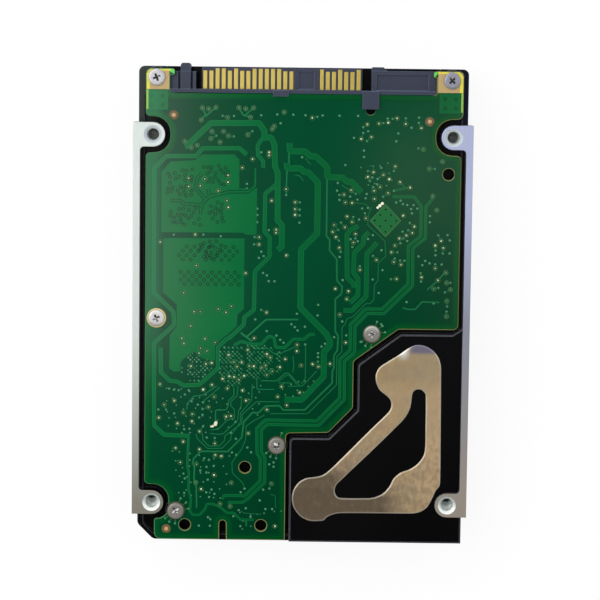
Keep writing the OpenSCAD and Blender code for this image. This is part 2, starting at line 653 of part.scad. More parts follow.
module spacer_2() { spacer(1); }

module disc_clamp() {
    color("#b2b4b7") at(spindle, disc_z(2) - clamp_t) difference() {
        tube(clamp_r, 3, clamp_t);
        for (a = [30:60:330]) rotate([0, 0, a]) translate([clamp_pcd_r, 0, -over]) cylinder(r = 0.7, h = 4);
    }
}

module clamp_screws() {
    color("#8d9095") at(spindle, disc_z(2) - clamp_t) for (a = [30:60:330]) rotate([0, 0, a])
        translate([clamp_pcd_r, 0, 0]) rotate([180, 0, 0]) screw(1.15, 0.5, 0.55, clamp_t + 1.2);
}

module pivot_shaft() {
    color("#a7a9ac") at(pivot, cover_t) difference() {
        union() {
            cylinder(r = pivot_r, h = deck_in_z - cover_t);
            translate([0, 0, deck_in_z - cover_t - 0.3]) cylinder(r = 2.6, h = 0.3);
            cylinder(r = 1.2, h = deck_in_z - cover_t + 2.4);
        }
        translate([0, 0, -over]) cylinder(r = cover_screw_r + 0.05, h = 3.6);
    }
}

module pivot_bearings() {
    color("#8f9296") for (z = [arm_zs[3] + 0.9, arm_zs[0] - 1.3])
        at(pivot, z) tube(arm_hub_r - 1, pivot_r + 0.03, 1.5);
}

// One arm along +X, tapering to the swaged end
module arm_plan() {
    polygon(rounded([[0, -4.6, 0], [21, -2.1, 1.6], [21, 2.1, 1.6], [0, 4.6, 0]]));
}

module arm_block() {
    color("#aeb1b5") at(pivot, 0) difference() {
        union() {
            translate([0, 0, arm_zs[3]]) cylinder(r = arm_hub_r, h = arm_zs[0] + end_arm_t - arm_zs[3]);
            for (i = [0:3]) translate([0, 0, arm_zs[i]]) linear_extrude(arm_ts[i]) rotate([0, 0, park_a])
                difference() {
                    arm_plan();
                    translate([11, 0]) circle(r = 1.5);
                    translate([15, 0]) circle(r = 1.2);
                }
            // short neck to the coil frame
            translate([0, 0, coil_z - 0.85]) linear_extrude(1.7) rotate([0, 0, coil_a])
                translate([3.5, -4]) square([arm_hub_r - 2, 8]);
        }
        translate([0, 0, -over]) cylinder(r = arm_hub_r - 1 + slip, h = drive_h);
    }
}

module coil_outline(grow) {
    half = 20 + grow * 4;
    polygon(slice(coil_in_r - grow, coil_out_r + grow, -half, half, 8));
}

module coil_frame() {
    color("#c8c0a8") at(pivot, coil_z - 0.85) linear_extrude(1.7) rotate([0, 0, coil_a]) difference() {
        polygon(slice(arm_hub_r + 1.5 + slip, frame_out_r, -frame_half, frame_half, 10));
        coil_outline(slip);
        translate([3.5, -4 - slip]) square([arm_hub_r - 2 + slip, 8 + 2 * slip]);
    }
}

module voice_coil() {
    color("#b3672a") at(pivot, coil_z - coil_t / 2) linear_extrude(coil_t) rotate([0, 0, coil_a]) difference() {
        coil_outline(0);
        polygon(slice(coil_in_r + 2, coil_out_r - 2, -10, 10, 6));
    }
}

module suspensions() {
    color("#c2c4c6") for (h = heads) at(pivot, h[1] > 0 ? h[0] : h[0] - susp_t) linear_extrude(susp_t)
        rotate([0, 0, park_a]) difference() {
            polygon([[17.2, -2], [21.5, -2], [arm_reach - 1, -0.9], [arm_reach + 0.6, -0.6],
                [arm_reach + 0.8, -0.3], [arm_reach + 2.2, -0.3], [arm_reach + 2.2, 0.3],
                [arm_reach + 0.8, 0.3], [arm_reach + 0.6, 0.6], [arm_reach - 1, 0.9], [21.5, 2], [17.2, 2]]);
            translate([19.2, 0]) circle(r = 0.9);
        }
}

module head_sliders() {
    color("#3a3b3f") for (h = heads) at(pivot, h[1] > 0 ? h[0] + susp_t : h[0] - susp_t - slider_t)
        rotate([0, 0, park_a]) translate([arm_reach - 0.6, -0.4, 0]) cube([1.2, 0.8, slider_t]);
}

module preamp_flex() {
    color("#b8722c") at(pivot, coil_z - 2) rotate([0, 0, preamp_a]) difference() {
        box([arm_hub_r - 0.6, -2.4, 0], [arm_hub_r + 0.25, 2.4, 4]);
        translate([0, 0, -over]) cylinder(r = arm_hub_r + slip, h = 6);
    }
}

module preamp_chip() {
    color("#232427") at(pivot, coil_z - 1) rotate([0, 0, preamp_a])
        box([arm_hub_r + 0.25, -2.2, 0], [arm_hub_r + 0.75, -0.6, 2]);
}

// Yoke plate with its three lugs, around the pivot
module yoke_plan(grow) {
    polygon(slice(yoke_in_r - grow, yoke_out_r + grow, yoke_a0 - grow, yoke_a1 + grow, 14));
    for (p = posts) {
        d = p - pivot;
        translate(d) circle(r = post_r + 0.6 + grow);
        rotate([0, 0, atan2(d[1], d[0])]) translate([15, -1.8 - grow]) square([norm(d) - 15, 3.6 + 2 * grow]);
    }
}

module yoke(z, t) {
    at(pivot, z) linear_extrude(t) difference() {
        yoke_plan(0);
        for (p = posts) translate(p - pivot) circle(r = 0.75);
    }
}

module deck_yoke() { color("#9b9ea2") yoke(deck_yoke_z, deck_yoke_t); }

module cover_yoke() {
    color("#9b9ea2") difference() {
        yoke(cover_yoke_z, cover_yoke_t);
        for (p = posts) at(p, cover_yoke_z - over) cylinder(r = 1.45, h = over + 0.6);
    }
}

module magnet(z) { at(pivot, z) slice_plate(coil_in_r + 0.2, coil_out_r - 0.2, magnet_a0, magnet_a1, magnet_t); }

module deck_magnet() { color("#b7babd") magnet(deck_magnet_z); }

module cover_magnet() { color("#b7babd") magnet(cover_magnet_z); }

module yoke_posts() {
    color("#8d9095") for (p = posts) at(p, cover_magnet_z) tube(post_r, 0.75, deck_yoke_z - cover_magnet_z);
}

module yoke_screws() {
    color("#7d8085") for (p = posts) at(p, cover_yoke_z + 0.6) rotate([180, 0, 0])
        screw(1.4, 0.55, 0.7, deck_in_z + 2.2 - cover_yoke_z - 0.6);
}

module crash_stops() {
    color("#1d1d1f") for (p = stops) at(p, cover_magnet_z) cylinder(r = stop_r, h = deck_yoke_z - cover_magnet_z);
}

module latch_magnet() {
    color("#6d6f73") at(pol(pivot, 14, coil_a + frame_half + 6.4 + 8.5), cover_magnet_z)
        cylinder(r = 0.8, h = deck_yoke_z - cover_magnet_z);
}

// Ramp: a post past the parked tabs, with a finger beside each disc's edge that two tabs slide onto
module loading_ramp() {
    color("#d9d3c2") at(pivot, 0) rotate([0, 0, ramp_a]) difference() {
        union() {
            box([arm_reach - 0.6, -1.6, arm_zs[3] + 0.2], [arm_reach + 4, 2.2, deck_in_z]);
            for (i = [0:2]) {
                low = heads[2 * i + 1][0] + susp_t + 0.06;
                ramp_finger(low, heads[2 * i][0] - susp_t - 0.06 - low);
            }
        }
        translate([arm_reach + 2, 0, 0]) cylinder(r = 0.65, h = drive_h);
        translate([arm_reach + 2, 0, 0]) cylinder(r = 1.2, h = arm_zs[3] + 1);
    }
}

module ramp_finger(z, t) {
    translate([0, 0, z]) linear_extrude(t) polygon([[arm_reach + 1, -1], [arm_reach + 1, -4],
        [arm_reach + 1.5, -4.7], [arm_reach + 2.2, -4.7], [arm_reach + 3, -4], [arm_reach + 3, -1]]);
}

module ramp_screw() {
    color("#8d9095") at(ramp_xy, arm_zs[3] + 1) rotate([180, 0, 0])
        screw(1.1, 0.5, 0.5, deck_in_z + 0.7 - arm_zs[3] - 1);
}

// Flexible circuit: half a loop from the arm block to the bracket
flex_a = pol(pivot, arm_hub_r + 0.35, preamp_a);
flex_b = bracket_xy + [5.15, 0.6];
flex_m = (flex_a + flex_b) / 2;
flex_r = norm(flex_a - flex_b) / 2;
flex_dir = atan2(flex_b[1] - flex_m[1], flex_b[0] - flex_m[0]);

module flex_loop() {
    color("#b8722c") at(flex_m, coil_z - 1.8) rotate([0, 0, flex_dir])
        rotate_extrude(angle = 180) translate([flex_r - 0.06, 0]) square([0.12, 3.6]);
}

module flex_bracket() {
    color("#3a3c40") at(bracket_xy, coil_z - 2.2) difference() {
        union() {
            box([-5, -2.4, 0], [5, 2.4, deck_in_z - coil_z + 2.2]);
            box([-7.6, -1.5, deck_in_z - coil_z + 0.9], [7.6, 1.5, deck_in_z - coil_z + 2.2]);
        }
        for (s = [-1, 1]) translate([s * 6.2, 0, 0]) cylinder(r = 0.65, h = drive_h);
    }
}

module bracket_screws() {
    color("#8d9095") for (s = [-1, 1]) at(bracket_xy + [s * 6.2, 0], deck_in_z - 1.3) rotate([180, 0, 0])
        screw(1.1, 0.5, 0.5, 2);
}

module recirculation_filter() {
    color("#e4e2da") translate([-body_x + 2.9, -32, deck_in_z - 7]) cube([2.4, 10, 7]);
}

module breather_filter() {
    color("#d7d7d2") at(breather_xy, deck_in_z - 1) cylinder(r = 2.6, h = 1);
}

module desiccant_pouch() {
    color("#efeee8") translate([-body_x + 4.4, rear_y + 6.55, deck_in_z - 4.5]) cube([8, 9.2, 4.5]);
}

echo(pivot = pivot, park = park_a, inner = inner_a, swing = swing, parked_head = pol(pivot, arm_reach, park_a));
echo(levels = [rim_z, deck_in_z, deck_z, board_z, board_top, tongue_z, socket_z]);
echo(discs = [disc_z(0), disc_z(1), disc_z(2)], arms = arm_zs, coil_z = coil_z, coil_a = coil_a);

base_casting();
top_cover();
cover_gasket();
cover_screws();
circuit_board();
board_screws();
controller_chip();
memory_chip();
motor_driver_chip();
flash_chip();
board_passives();
thermal_pads();
head_connector();
motor_contact_block();
motor_flex();
connector_housing();
connector_contacts();
foil_seal();
bearing_sleeve();
bearing_cap();
stator_core();
stator_coils();
spindle_hub();
spindle_shaft();
rotor_magnet();
platter_1();
platter_2();
platter_3();
spacer_1();
spacer_2();
disc_clamp();
clamp_screws();
pivot_shaft();
pivot_bearings();
arm_block();
coil_frame();
voice_coil();
suspensions();
head_sliders();
preamp_flex();
preamp_chip();
deck_yoke();
cover_yoke();
deck_magnet();
cover_magnet();
yoke_posts();
yoke_screws();
crash_stops();
latch_magnet();
loading_ramp();
ramp_screw();
flex_loop();
flex_bracket();
bracket_screws();
recirculation_filter();
breather_filter();
desiccant_pouch();
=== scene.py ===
import bpy
import bmesh
import json
import math
from mathutils import Matrix, Vector
from mathutils.geometry import intersect_line_line_2d


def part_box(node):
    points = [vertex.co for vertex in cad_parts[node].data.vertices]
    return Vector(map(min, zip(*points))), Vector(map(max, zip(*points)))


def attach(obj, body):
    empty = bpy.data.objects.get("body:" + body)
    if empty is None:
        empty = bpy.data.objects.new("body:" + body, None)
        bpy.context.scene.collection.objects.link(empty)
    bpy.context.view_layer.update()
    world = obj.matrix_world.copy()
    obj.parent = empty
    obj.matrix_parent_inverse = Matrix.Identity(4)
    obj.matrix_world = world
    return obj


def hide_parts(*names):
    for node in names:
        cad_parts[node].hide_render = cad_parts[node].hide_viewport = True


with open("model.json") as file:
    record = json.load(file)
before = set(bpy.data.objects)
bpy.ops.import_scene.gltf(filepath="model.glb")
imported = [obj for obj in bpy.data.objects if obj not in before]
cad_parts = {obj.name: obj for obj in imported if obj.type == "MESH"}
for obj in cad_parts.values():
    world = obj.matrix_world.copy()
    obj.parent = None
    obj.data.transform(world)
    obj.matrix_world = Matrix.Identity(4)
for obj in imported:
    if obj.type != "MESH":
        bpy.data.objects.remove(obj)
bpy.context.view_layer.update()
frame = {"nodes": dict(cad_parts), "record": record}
mm = 0.001
print("frame loaded:", len(frame["nodes"]), "nodes")


def tone(red, green, blue):
    # a colour as it is seen, 0 to 255, in linear light
    values = []
    for part in (red, green, blue):
        part = part / 255
        values.append(part / 12.92 if part <= 0.04045 else ((part + 0.055) / 1.055) ** 2.4)
    return (*values, 1.0)


class Wire:
    # a node's output that takes part in arithmetic
    def __init__(self, graph, socket):
        self.graph = graph
        self.socket = socket

    def calc(self, operation, first, second=0.0, clamp=False):
        return self.graph.node("ShaderNodeMath", {"operation": operation, "use_clamp": clamp},
                               {0: first, 1: second})

    def other(self, key):
        return Wire(self.graph, self.socket.node.outputs[key])

    def __add__(self, other):
        return self.calc("ADD", self, other)

    def __radd__(self, other):
        return self.calc("ADD", other, self)

    def __sub__(self, other):
        return self.calc("SUBTRACT", self, other)

    def __rsub__(self, other):
        return self.calc("SUBTRACT", other, self)

    def __mul__(self, other):
        return self.calc("MULTIPLY", self, other)

    def __rmul__(self, other):
        return self.calc("MULTIPLY", other, self)

    def __truediv__(self, other):
        return self.calc("DIVIDE", self, other)

    def __rtruediv__(self, other):
        return self.calc("DIVIDE", other, self)

    def __pow__(self, other):
        return self.calc("POWER", self, other)

    def __rpow__(self, other):
        return self.calc("POWER", other, self)

    def over(self, edge, soft):
        # 0 under the edge, 1 above it, over a soft width
        return self.calc("ADD", (self - edge) / soft, 0.5, True)

    def under(self, edge, soft):
        return 1 - self.over(edge, soft)

    def most(self, other):
        return self.calc("MAXIMUM", self, other)

    def least(self, other):
        return self.calc("MINIMUM", self, other)

    def size(self):
        return self.calc("ABSOLUTE", self)

    def sine(self):
        return self.calc("SINE", self)

    def wave(self):
        # the sine, moved to run from 0 to 1
        return self.sine() * 0.5 + 0.5

    def reach(self, other):
        # how far off two distances at right angles are together
        return (self * self + other * other) ** 0.5


class Graph:
    # a node tree, with one way to add a node to it
    def __init__(self, tree):
        self.tree = tree

    def node(self, kind, settings=None, sockets=None, give=0):
        made = self.tree.nodes.new(kind)
        for key, value in (settings or {}).items():
            setattr(made, key, value)
        for key, value in (sockets or {}).items():
            self.plug(made.inputs[key], value)
        return Wire(self, made.outputs[give]) if made.outputs else made

    def plug(self, socket, value):
        if isinstance(value, Wire):
            self.tree.links.new(value.socket, socket)
        else:
            socket.default_value = value


class Finish(Graph):
    # one material: a shader, the place on the object and the usual patterns
    def __init__(self, name, **fixed):
        self.material = bpy.data.materials.new(name)
        self.material.use_nodes = True
        super().__init__(self.material.node_tree)
        self.shader = self.tree.nodes["Principled BSDF"]
        self.dress(**fixed)
        self.place = self.node("ShaderNodeTexCoord", give="Object")
        self.x = self.node("ShaderNodeSeparateXYZ", None, {0: self.place})
        self.y = self.x.other(1)
        self.z = self.x.other(2)

    def noise(self, scale, detail=3.0, stretch=None, turn=0.0, bend=0.0):
        where = self.place
        if stretch:
            where = self.node("ShaderNodeMapping", {"vector_type": "TEXTURE"},
                              {0: where, "Rotation": (0, 0, math.radians(turn)),
                               "Scale": [1 / s for s in stretch]})
        return self.node("ShaderNodeTexNoise", None,
                         {"Vector": where, "Scale": scale, "Detail": detail, "Distortion": bend})

    def mix(self, factor, first, second, blend="MIX"):
        return self.node("ShaderNodeMix", {"data_type": "RGBA", "blend_type": blend},
                         {0: factor, 6: first, 7: second}, 2)

    def bump(self, height, depth, normal=None):
        sockets = {"Height": height, "Distance": depth, "Strength": 1.0}
        if normal:
            sockets["Normal"] = normal
        return self.node("ShaderNodeBump", None, sockets)

    def upward(self, normal="True Normal"):
        # how far the face looks up
        return self.node("ShaderNodeSeparateXYZ", None,
                         {0: self.node("ShaderNodeNewGeometry", give=normal)}, 2)

    def edges(self, radius):
        # the normal rounded off at edges, and how far it has turned there
        soft = self.node("ShaderNodeBevel", {"samples": 6}, {"Radius": radius})
        turned = self.node("ShaderNodeVectorMath", {"operation": "DOT_PRODUCT"},
                           {0: soft, 1: self.node("ShaderNodeNewGeometry", give="True Normal")}, 1)
        return soft, 1 - turned

    def dress(self, **inputs):
        for key, value in inputs.items():
            self.plug(self.shader.inputs[key.replace("_", " ")], value)
        return self.material


# metals: a tint, a darker stain, and the marks of rolling
def metalFinish(name, tint, stain, rough, grain, stretch=None, turn=0, depth=0.004 * mm):
    finish = Finish(name, Metallic=1.0)
    cloud = finish.noise(90, 4)
    marks = finish.noise(grain, 2, stretch, turn)
    colour = finish.mix(cloud.over(0.55, 0.5) * 0.55 + marks * 0.2, tint, stain)
    return finish.dress(Base_Color=colour, Roughness=rough - 0.06 + cloud * 0.1 + marks * 0.06,
                        Normal=finish.bump(marks, depth))


# turned metal: rings about an upright axis
def turnedFinish(name, tint, stain, rough, axis, pitch, depth):
    finish = Finish(name, Metallic=1.0)
    radius = (finish.x - axis[0]).reach(finish.y - axis[1])
    rings = (radius * (math.tau / pitch)).wave()
    cloud = finish.noise(120, 3)
    colour = finish.mix(rings * 0.25 + cloud * 0.3, tint, stain)
    return finish.dress(Base_Color=colour, Roughness=rough + rings * 0.05 + cloud * 0.05,
                        Normal=finish.bump(rings, depth))


# moulded, rubbed or pressed stuff: two tones and a fine grain
def mouldedFinish(name, tint, shade, rough, grain=2500):
    finish = Finish(name)
    cloud = finish.noise(140, 4)
    skin = finish.noise(grain, 3)
    colour = finish.mix(cloud * 0.7 + skin * 0.3, tint, shade)
    return finish.dress(Base_Color=colour, Roughness=rough - 0.05 + skin * 0.1,
                        Normal=finish.bump(skin, 0.006 * mm))


# wire, laminations and cloth: lines that repeat along one axis
def linedFinish(name, tint, shade, rough, metallic, axis, pitch, depth):
    finish = Finish(name, Metallic=metallic)
    run = {"x": finish.x, "z": finish.z}[axis]
    drift = finish.noise(300, 3)
    lines = ((run + drift * pitch * 0.4) * (math.tau / pitch)).wave()
    colour = finish.mix(lines * 0.7 + drift * 0.3, shade, tint)
    return finish.dress(Base_Color=colour, Roughness=rough + drift * 0.1, Normal=finish.bump(lines, depth))


# pairs in these looks are an edge and the soft width it changes over
castingLook = {
    "black": tone(3, 3, 4), "grey": tone(9, 9, 10), "wornAndLit": tone(118, 120, 128),
    "dusty": tone(58, 64, 62), "blue": tone(12, 16, 34),
    "bare": tone(209, 217, 211), "coolReflection": tone(176, 183, 212), "coolReflectionLow": tone(144, 147, 158),
    "low": tone(136, 133, 121), "lowRightShade": tone(160, 150, 138), "brushed": (0.6, 0.6, 0.6, 1),
    "seat": tone(192, 200, 202), "seatRearLit": tone(238, 241, 236), "dishShade": tone(150, 162, 158),
    "shade": tone(22, 25, 23), "boreShade": tone(62, 64, 61), "boreLit": tone(120, 122, 116),
    "faceAt": (14.93 * mm, 0.04 * mm), "sideAt": (33.95 * mm, 0.04 * mm), "round": 0.22 * mm,
    "seatAt": (1.86 * mm, 0.04 * mm), "boreShadeAt": (1.12 * mm, 0.1 * mm), "dishShadeAt": (0.8 * mm, 0.8 * mm),
    "rearAt": (0.0, 1 * mm), "rightAt": (0.0, 30 * mm), "coolReflectionAt": (-8 * mm, 24 * mm),
    "lowShadeAt": (24 * mm, 36 * mm), "frontAt": (37.5 * mm, 3 * mm), "cornerAt": (31 * mm, 2 * mm),
    "holeX": 30.86 * mm, "frontHoleY": 35.05 * mm, "rearHoleY": -41.55 * mm, "upperAt": (0.0, 1.2 * mm),
    "shadeUp": 0.85 * mm, "shadeWide": 1.1 * mm, "shadeHigh": 0.68 * mm}


def castingFinish(name, holes):
    # black paint all over, cut bare on the mounting faces, the rails' sides and the screw holes
    look = castingLook
    finish = Finish(name, Specular_IOR_Level=0.08)
    cone = None
    for holeX, holeY in holes:
        radius = (finish.x - holeX).reach(finish.y - holeY)
        cone = cone.least(radius) if cone else radius
    inHole = cone.under(*look["seatAt"])
    bare = finish.z.over(*look["faceAt"]).most(finish.x.size().over(*look["sideAt"])).most(inHole)
    cloud = finish.noise(60, 4)
    brushed = finish.noise(700, 3, (6, 0.5, 6))
    peel = finish.noise(1800, 2)
    dust = finish.noise(5200, 2).over(0.74, 0.06)
    soft, turned = finish.edges(look["round"])
    edge = turned.over(0.05, 0.08) * 0.62
    back = 0 - finish.y
    rear = back.over(*look["rearAt"])
    toRight = finish.x.over(*look["rightAt"])
    # bare faces: a painted reflection, bluish on the right, and painted shade, duller to the rear
    rightReflected = finish.mix(back.over(*look["coolReflectionAt"]), look["coolReflection"], look["coolReflectionLow"])
    bareLitAndShaded = finish.mix(toRight, look["bare"], rightReflected)
    rearShaded = finish.mix(toRight, look["low"], look["lowRightShade"])
    bareLitAndShaded = finish.mix(back.over(*look["lowShadeAt"]), bareLitAndShaded, rearShaded)
    metal = finish.mix(cloud * 0.3 + brushed * 0.3, bareLitAndShaded, look["brushed"], "MULTIPLY")
    # seats of the holes, painted light and shade: the rear ones painted brighter, with painted shade in the
    # middle and over the upper half, and an uneven patch of painted shade above
    seat = finish.mix(rear, look["seat"], look["seatRearLit"])
    seat = finish.mix(cone.under(*look["dishShadeAt"]) * rear, seat, look["dishShade"])
    rise = finish.y - look["rearHoleY"]
    seat = finish.mix(rise.over(*look["upperAt"]) * rear * 0.75, seat, look["dishShade"])
    across = (finish.x.size() - look["holeX"]) / look["shadeWide"]
    raggedShade = across.reach((rise - look["shadeUp"]) / look["shadeHigh"]) + finish.noise(1500, 2) * 0.8
    seat = finish.mix(raggedShade.under(1.3, 0.4) * 0.95, seat, look["shade"])
    # a painted shade in the front holes' bores, with painted light on their threads
    boreShade = cone.under(*look["boreShadeAt"]) * finish.y.over(*look["rearAt"])
    litThreads = finish.noise(1600, 2, (1, 4, 1), 30).over(0.55, 0.2)
    hole = finish.mix(boreShade, seat, finish.mix(litThreads, look["boreShade"], look["boreLit"]))
    metal = finish.mix(inHole, metal, hole)
    # paint: dusty at the front left corner, bluish at the front right, and paler at edges, partly from wear
    # and partly as a painted highlight
    paint = finish.mix(cloud * 0.5 + dust * 0.35, look["black"], look["grey"])
    front = finish.y.over(*look["frontAt"])
    paint = finish.mix(front * (0 - finish.x).over(*look["cornerAt"]) * 0.75, paint, look["dusty"])
    paint = finish.mix(front * finish.x.over(*look["cornerAt"]), paint, look["blue"])
    paint = finish.mix(edge, paint, look["wornAndLit"])
    rough = (0.34 + brushed * 0.16 - inHole * 0.1) * bare + (0.24 + cloud * 0.08) * (1 - bare)
    height = brushed * bare * 0.4 + peel * (1 - bare) * 0.5
    return finish.dress(Base_Color=finish.mix(bare, paint, metal), Metallic=bare * 0.45 - inHole * 0.25,
                        Roughness=rough, Normal=finish.bump(height, 0.012 * mm, soft))


boardLook = {
    "mask": tone(0, 72, 40), "deep": tone(0, 58, 38), "copper": tone(0, 92, 47),
    "copperPale": tone(10, 103, 54),
    "edge": tone(132, 132, 78), "edgeDark": tone(90, 102, 54), "edgeLeftLit": tone(66, 118, 76),
    "lit": tone(4, 112, 66), "shade": (0.2, 0.45, 0.35, 1), "fall": 0.8, "copperFall": 0.4,
    "fallAt": (22 * mm, 70 * mm), "copperFallAt": (-6 * mm, 20 * mm), "litX": (29.5 * mm, 2 * mm),
    "litY": (-10 * mm, 20 * mm), "edgeLeftLitAt": (24.5 * mm, 4 * mm), "plugY": (39.5 * mm, 1 * mm),
    "plugX": (26.6 * mm, 0.4 * mm), "threads": 9000, "layers": 42000}


def boardFinish(name, tint, shade, edged=False):
    # lacquer over glass cloth with painted shade and a painted sheen, and on the panel the raw cloth
    # showing at the cut edge, with a painted glow on the left
    look = boardLook
    finish = Finish(name, Specular_IOR_Level=0.27)
    cloud = finish.noise(70, 4)
    weave = (finish.x * look["threads"]).sine() * (finish.y * look["threads"]).sine() * 0.5 + 0.5
    grain = finish.noise(3000, 2)
    colour = finish.mix(cloud * 0.75 + weave * 0.12 + grain * 0.13, tint, shade)
    # painted shade, falling off towards the right and the rear, and on copper also towards the right
    fallingShade = (finish.x - finish.y).over(*look["fallAt"]) * look["fall"]
    if not edged:
        fallingShade = fallingShade.most(finish.x.over(*look["copperFallAt"]) * look["copperFall"])
    colour = finish.mix(fallingShade, colour, look["shade"], "MULTIPLY")
    left = 0 - finish.x
    # a painted sheen along the left edge, over its front part
    colour = finish.mix(left.over(*look["litX"]) * finish.y.over(*look["litY"]) * 0.45, colour, look["lit"])
    rough = 0.1 + cloud * 0.05
    if edged:
        side = finish.upward("Normal").size().under(0.9, 0.1)
        layers = (finish.z * look["layers"]).wave()
        cut = finish.mix(layers * 0.5 + grain * 0.5, look["edge"], look["edgeDark"])
        # the cut edge painted lighter on the left, as a painted glow of light through the board
        cut = finish.mix(left.over(*look["edgeLeftLitAt"]), cut, look["edgeLeftLit"])
        byPlug = finish.y.over(*look["plugY"]) * finish.x.size().under(*look["plugX"])
        colour = finish.mix(side * (1 - byPlug), colour, cut)
        rough = rough + side * 0.4
    return finish.dress(Base_Color=colour, Roughness=rough,
                        Normal=finish.bump(cloud * 0.6 + weave * 0.1, 0.012 * mm))


foilLook = {
    "tint": tone(172, 155, 123), "stain": tone(94, 82, 66), "warm": tone(180, 154, 112),
    "grey": tone(150, 138, 118), "rubbed": tone(216, 184, 142), "brown": tone(132, 108, 84),
    "bright": tone(206, 192, 170), "edge": tone(172, 167, 154), "coolReflection": tone(96, 96, 126),
    "glint": tone(232, 230, 226), "rough": 0.24,
    "cornerY": (34.2 * mm, 3.4 * mm), "cornerX": (11 * mm, 9 * mm), "footY": (39.2 * mm, 2 * mm),
    "footX": (19.5 * mm, 5 * mm), "sheenRightX": (24.5 * mm, 5 * mm), "sheenRightY": (20 * mm, 16 * mm),
    "rubbedY": (28 * mm, 14 * mm), "belowTip": (16.5 * mm, 3 * mm), "tipY": (-9.7 * mm, 0.8 * mm),
    "tipX": (22.6 * mm, 1.4 * mm), "flashY": (-10.6 * mm, 1.6 * mm), "flashX": 21.3 * mm,
    "flashWide": (0.9 * mm, 1.2 * mm)}


def foilFinish(name):
    # soft metal tape, rolled one way, with stains, mottling and scratches; its warm tint is a painted
    # reflection of a warm room, and it carries painted shade at the rear left, painted sheen to the right
    # and the rear, pale painted edges, and a bluish painted reflection and a painted glint at the front end
    look = foilLook
    finish = Finish(name, Metallic=0.5)
    cloud = finish.noise(55, 5, bend=0.6)
    patches = finish.noise(170, 4)
    rolled = finish.noise(500, 3, (1, 9, 1), 38)
    dents = finish.noise(160, 2)
    mottle = finish.noise(420, 4, bend=0.3)
    smears = finish.noise(230, 5, (0.8, 1.5, 1), 12, 0.5)
    specks = finish.noise(1100, 4, (1, 0.6, 1))
    scratches = finish.noise(110, 1, (1, 0.06, 1), 14).over(0.76, 0.02)
    scratches = scratches.most(finish.noise(140, 1, (1, 0.08, 1), 72).over(0.77, 0.02))
    back = 0 - finish.y
    corner = back.over(*look["cornerY"]) * finish.x.under(*look["cornerX"])
    foot = back.over(*look["footY"]) * finish.x.under(*look["footX"])
    # a painted sheen on the right, towards the rear
    sheenRight = finish.x.over(*look["sheenRightX"]) * back.over(*look["sheenRightY"])
    low = back.over(*look["rubbedY"])
    # stains in clouds and rolling lines, and painted shade at the rear left
    stainAndShade = cloud.over(0.56, 0.3) * 0.2 + corner * 0.8 + foot * (0.66 + mottle * 0.2) + rolled * 0.06
    # at the front end a bluish painted reflection, and a painted glint beside it
    tip = finish.y.over(*look["tipY"]) * finish.x.over(*look["tipX"])
    flash = finish.y.over(*look["flashY"]) * (finish.x - look["flashX"]).size().under(*look["flashWide"])
    colour = finish.mix(patches.over(0.5, 0.3), look["tint"], look["warm"])
    # each layer: where it lies, and its colour
    for where, layer in (
            (smears.over(0.56, 0.14) * (0.25 + low * 0.6), "grey"),
            (sheenRight * (0.45 + mottle.over(0.48, 0.25) * 0.5), "rubbed"),
            (mottle.over(0.54, 0.16) * (0.15 + low * 0.4), "brown"),
            # painted light over the foil behind its front end
            (back.over(*look["belowTip"]) * 0.3, "rubbed"),
            (stainAndShade.least(0.92), "stain"),
            (specks.over(0.52, 0.12) * (0.05 + low * 0.22), "stain"),
            (specks.under(0.36, 0.12) * low * (0.42 - stainAndShade.least(1.0) * 0.36), "rubbed"),
            (scratches * 0.4, "bright"),
            # a painted highlight on the sloping edge
            (finish.upward().under(0.99, 0.008) * 0.45, "edge"),
            (tip * 0.8, "coolReflection"),
            (flash * 0.8, "glint")):
        colour = finish.mix(where, colour, look[layer])
    return finish.dress(Base_Color=colour, Roughness=look["rough"] + cloud * 0.12 + scratches * 0.16,
                        Normal=finish.bump(dents * 0.8 + rolled * 0.15 + scratches * 0.12, 0.03 * mm))


coverLook = {"tint": tone(206, 208, 212), "stain": tone(170, 173, 180), "rough": 0.34}


def coverFinish(name):
    # pressed sheet with a satin coat, faint cloudiness and fine rolling lines
    finish = Finish(name, Metallic=1.0)
    cloud = finish.noise(35, 5)
    rolled = finish.noise(900, 3, (0.3, 7, 1))
    specks = finish.noise(2600, 2).over(0.7, 0.1)
    colour = finish.mix(cloud * 0.5 + rolled * 0.3 + specks * 0.2, coverLook["tint"], coverLook["stain"])
    return finish.dress(Base_Color=colour, Roughness=coverLook["rough"] + cloud * 0.1 + specks * 0.08,
                        Normal=finish.bump(rolled * 0.6 + specks * 0.2, 0.008 * mm))


connectorLook = {"dark": tone(24, 32, 52), "pale": tone(36, 44, 66), "rubbed": tone(104, 114, 146),
                 "round": 0.16 * mm}


def connectorFinish(name):
    # glass-filled plastic: bluish dark grey, paler at the edges, partly from wear and partly as a painted
    # highlight
    finish = Finish(name, Specular_IOR_Level=0.45)
    cloud = finish.noise(110, 4)
    fibres = finish.noise(1500, 2, (1, 5, 1), 70)
    soft, turned = finish.edges(connectorLook["round"])
    plain = finish.mix(cloud * 0.6 + fibres * 0.4, connectorLook["dark"], connectorLook["pale"])
    colour = finish.mix(turned.over(0.06, 0.1) * 0.6, plain, connectorLook["rubbed"])
    return finish.dress(Base_Color=colour, Roughness=0.4 + cloud * 0.12,
                        Normal=finish.bump(fibres, 0.006 * mm, soft))


contactLook = {"gold": tone(212, 192, 104), "wiped": tone(168, 144, 62), "side": tone(112, 86, 32)}


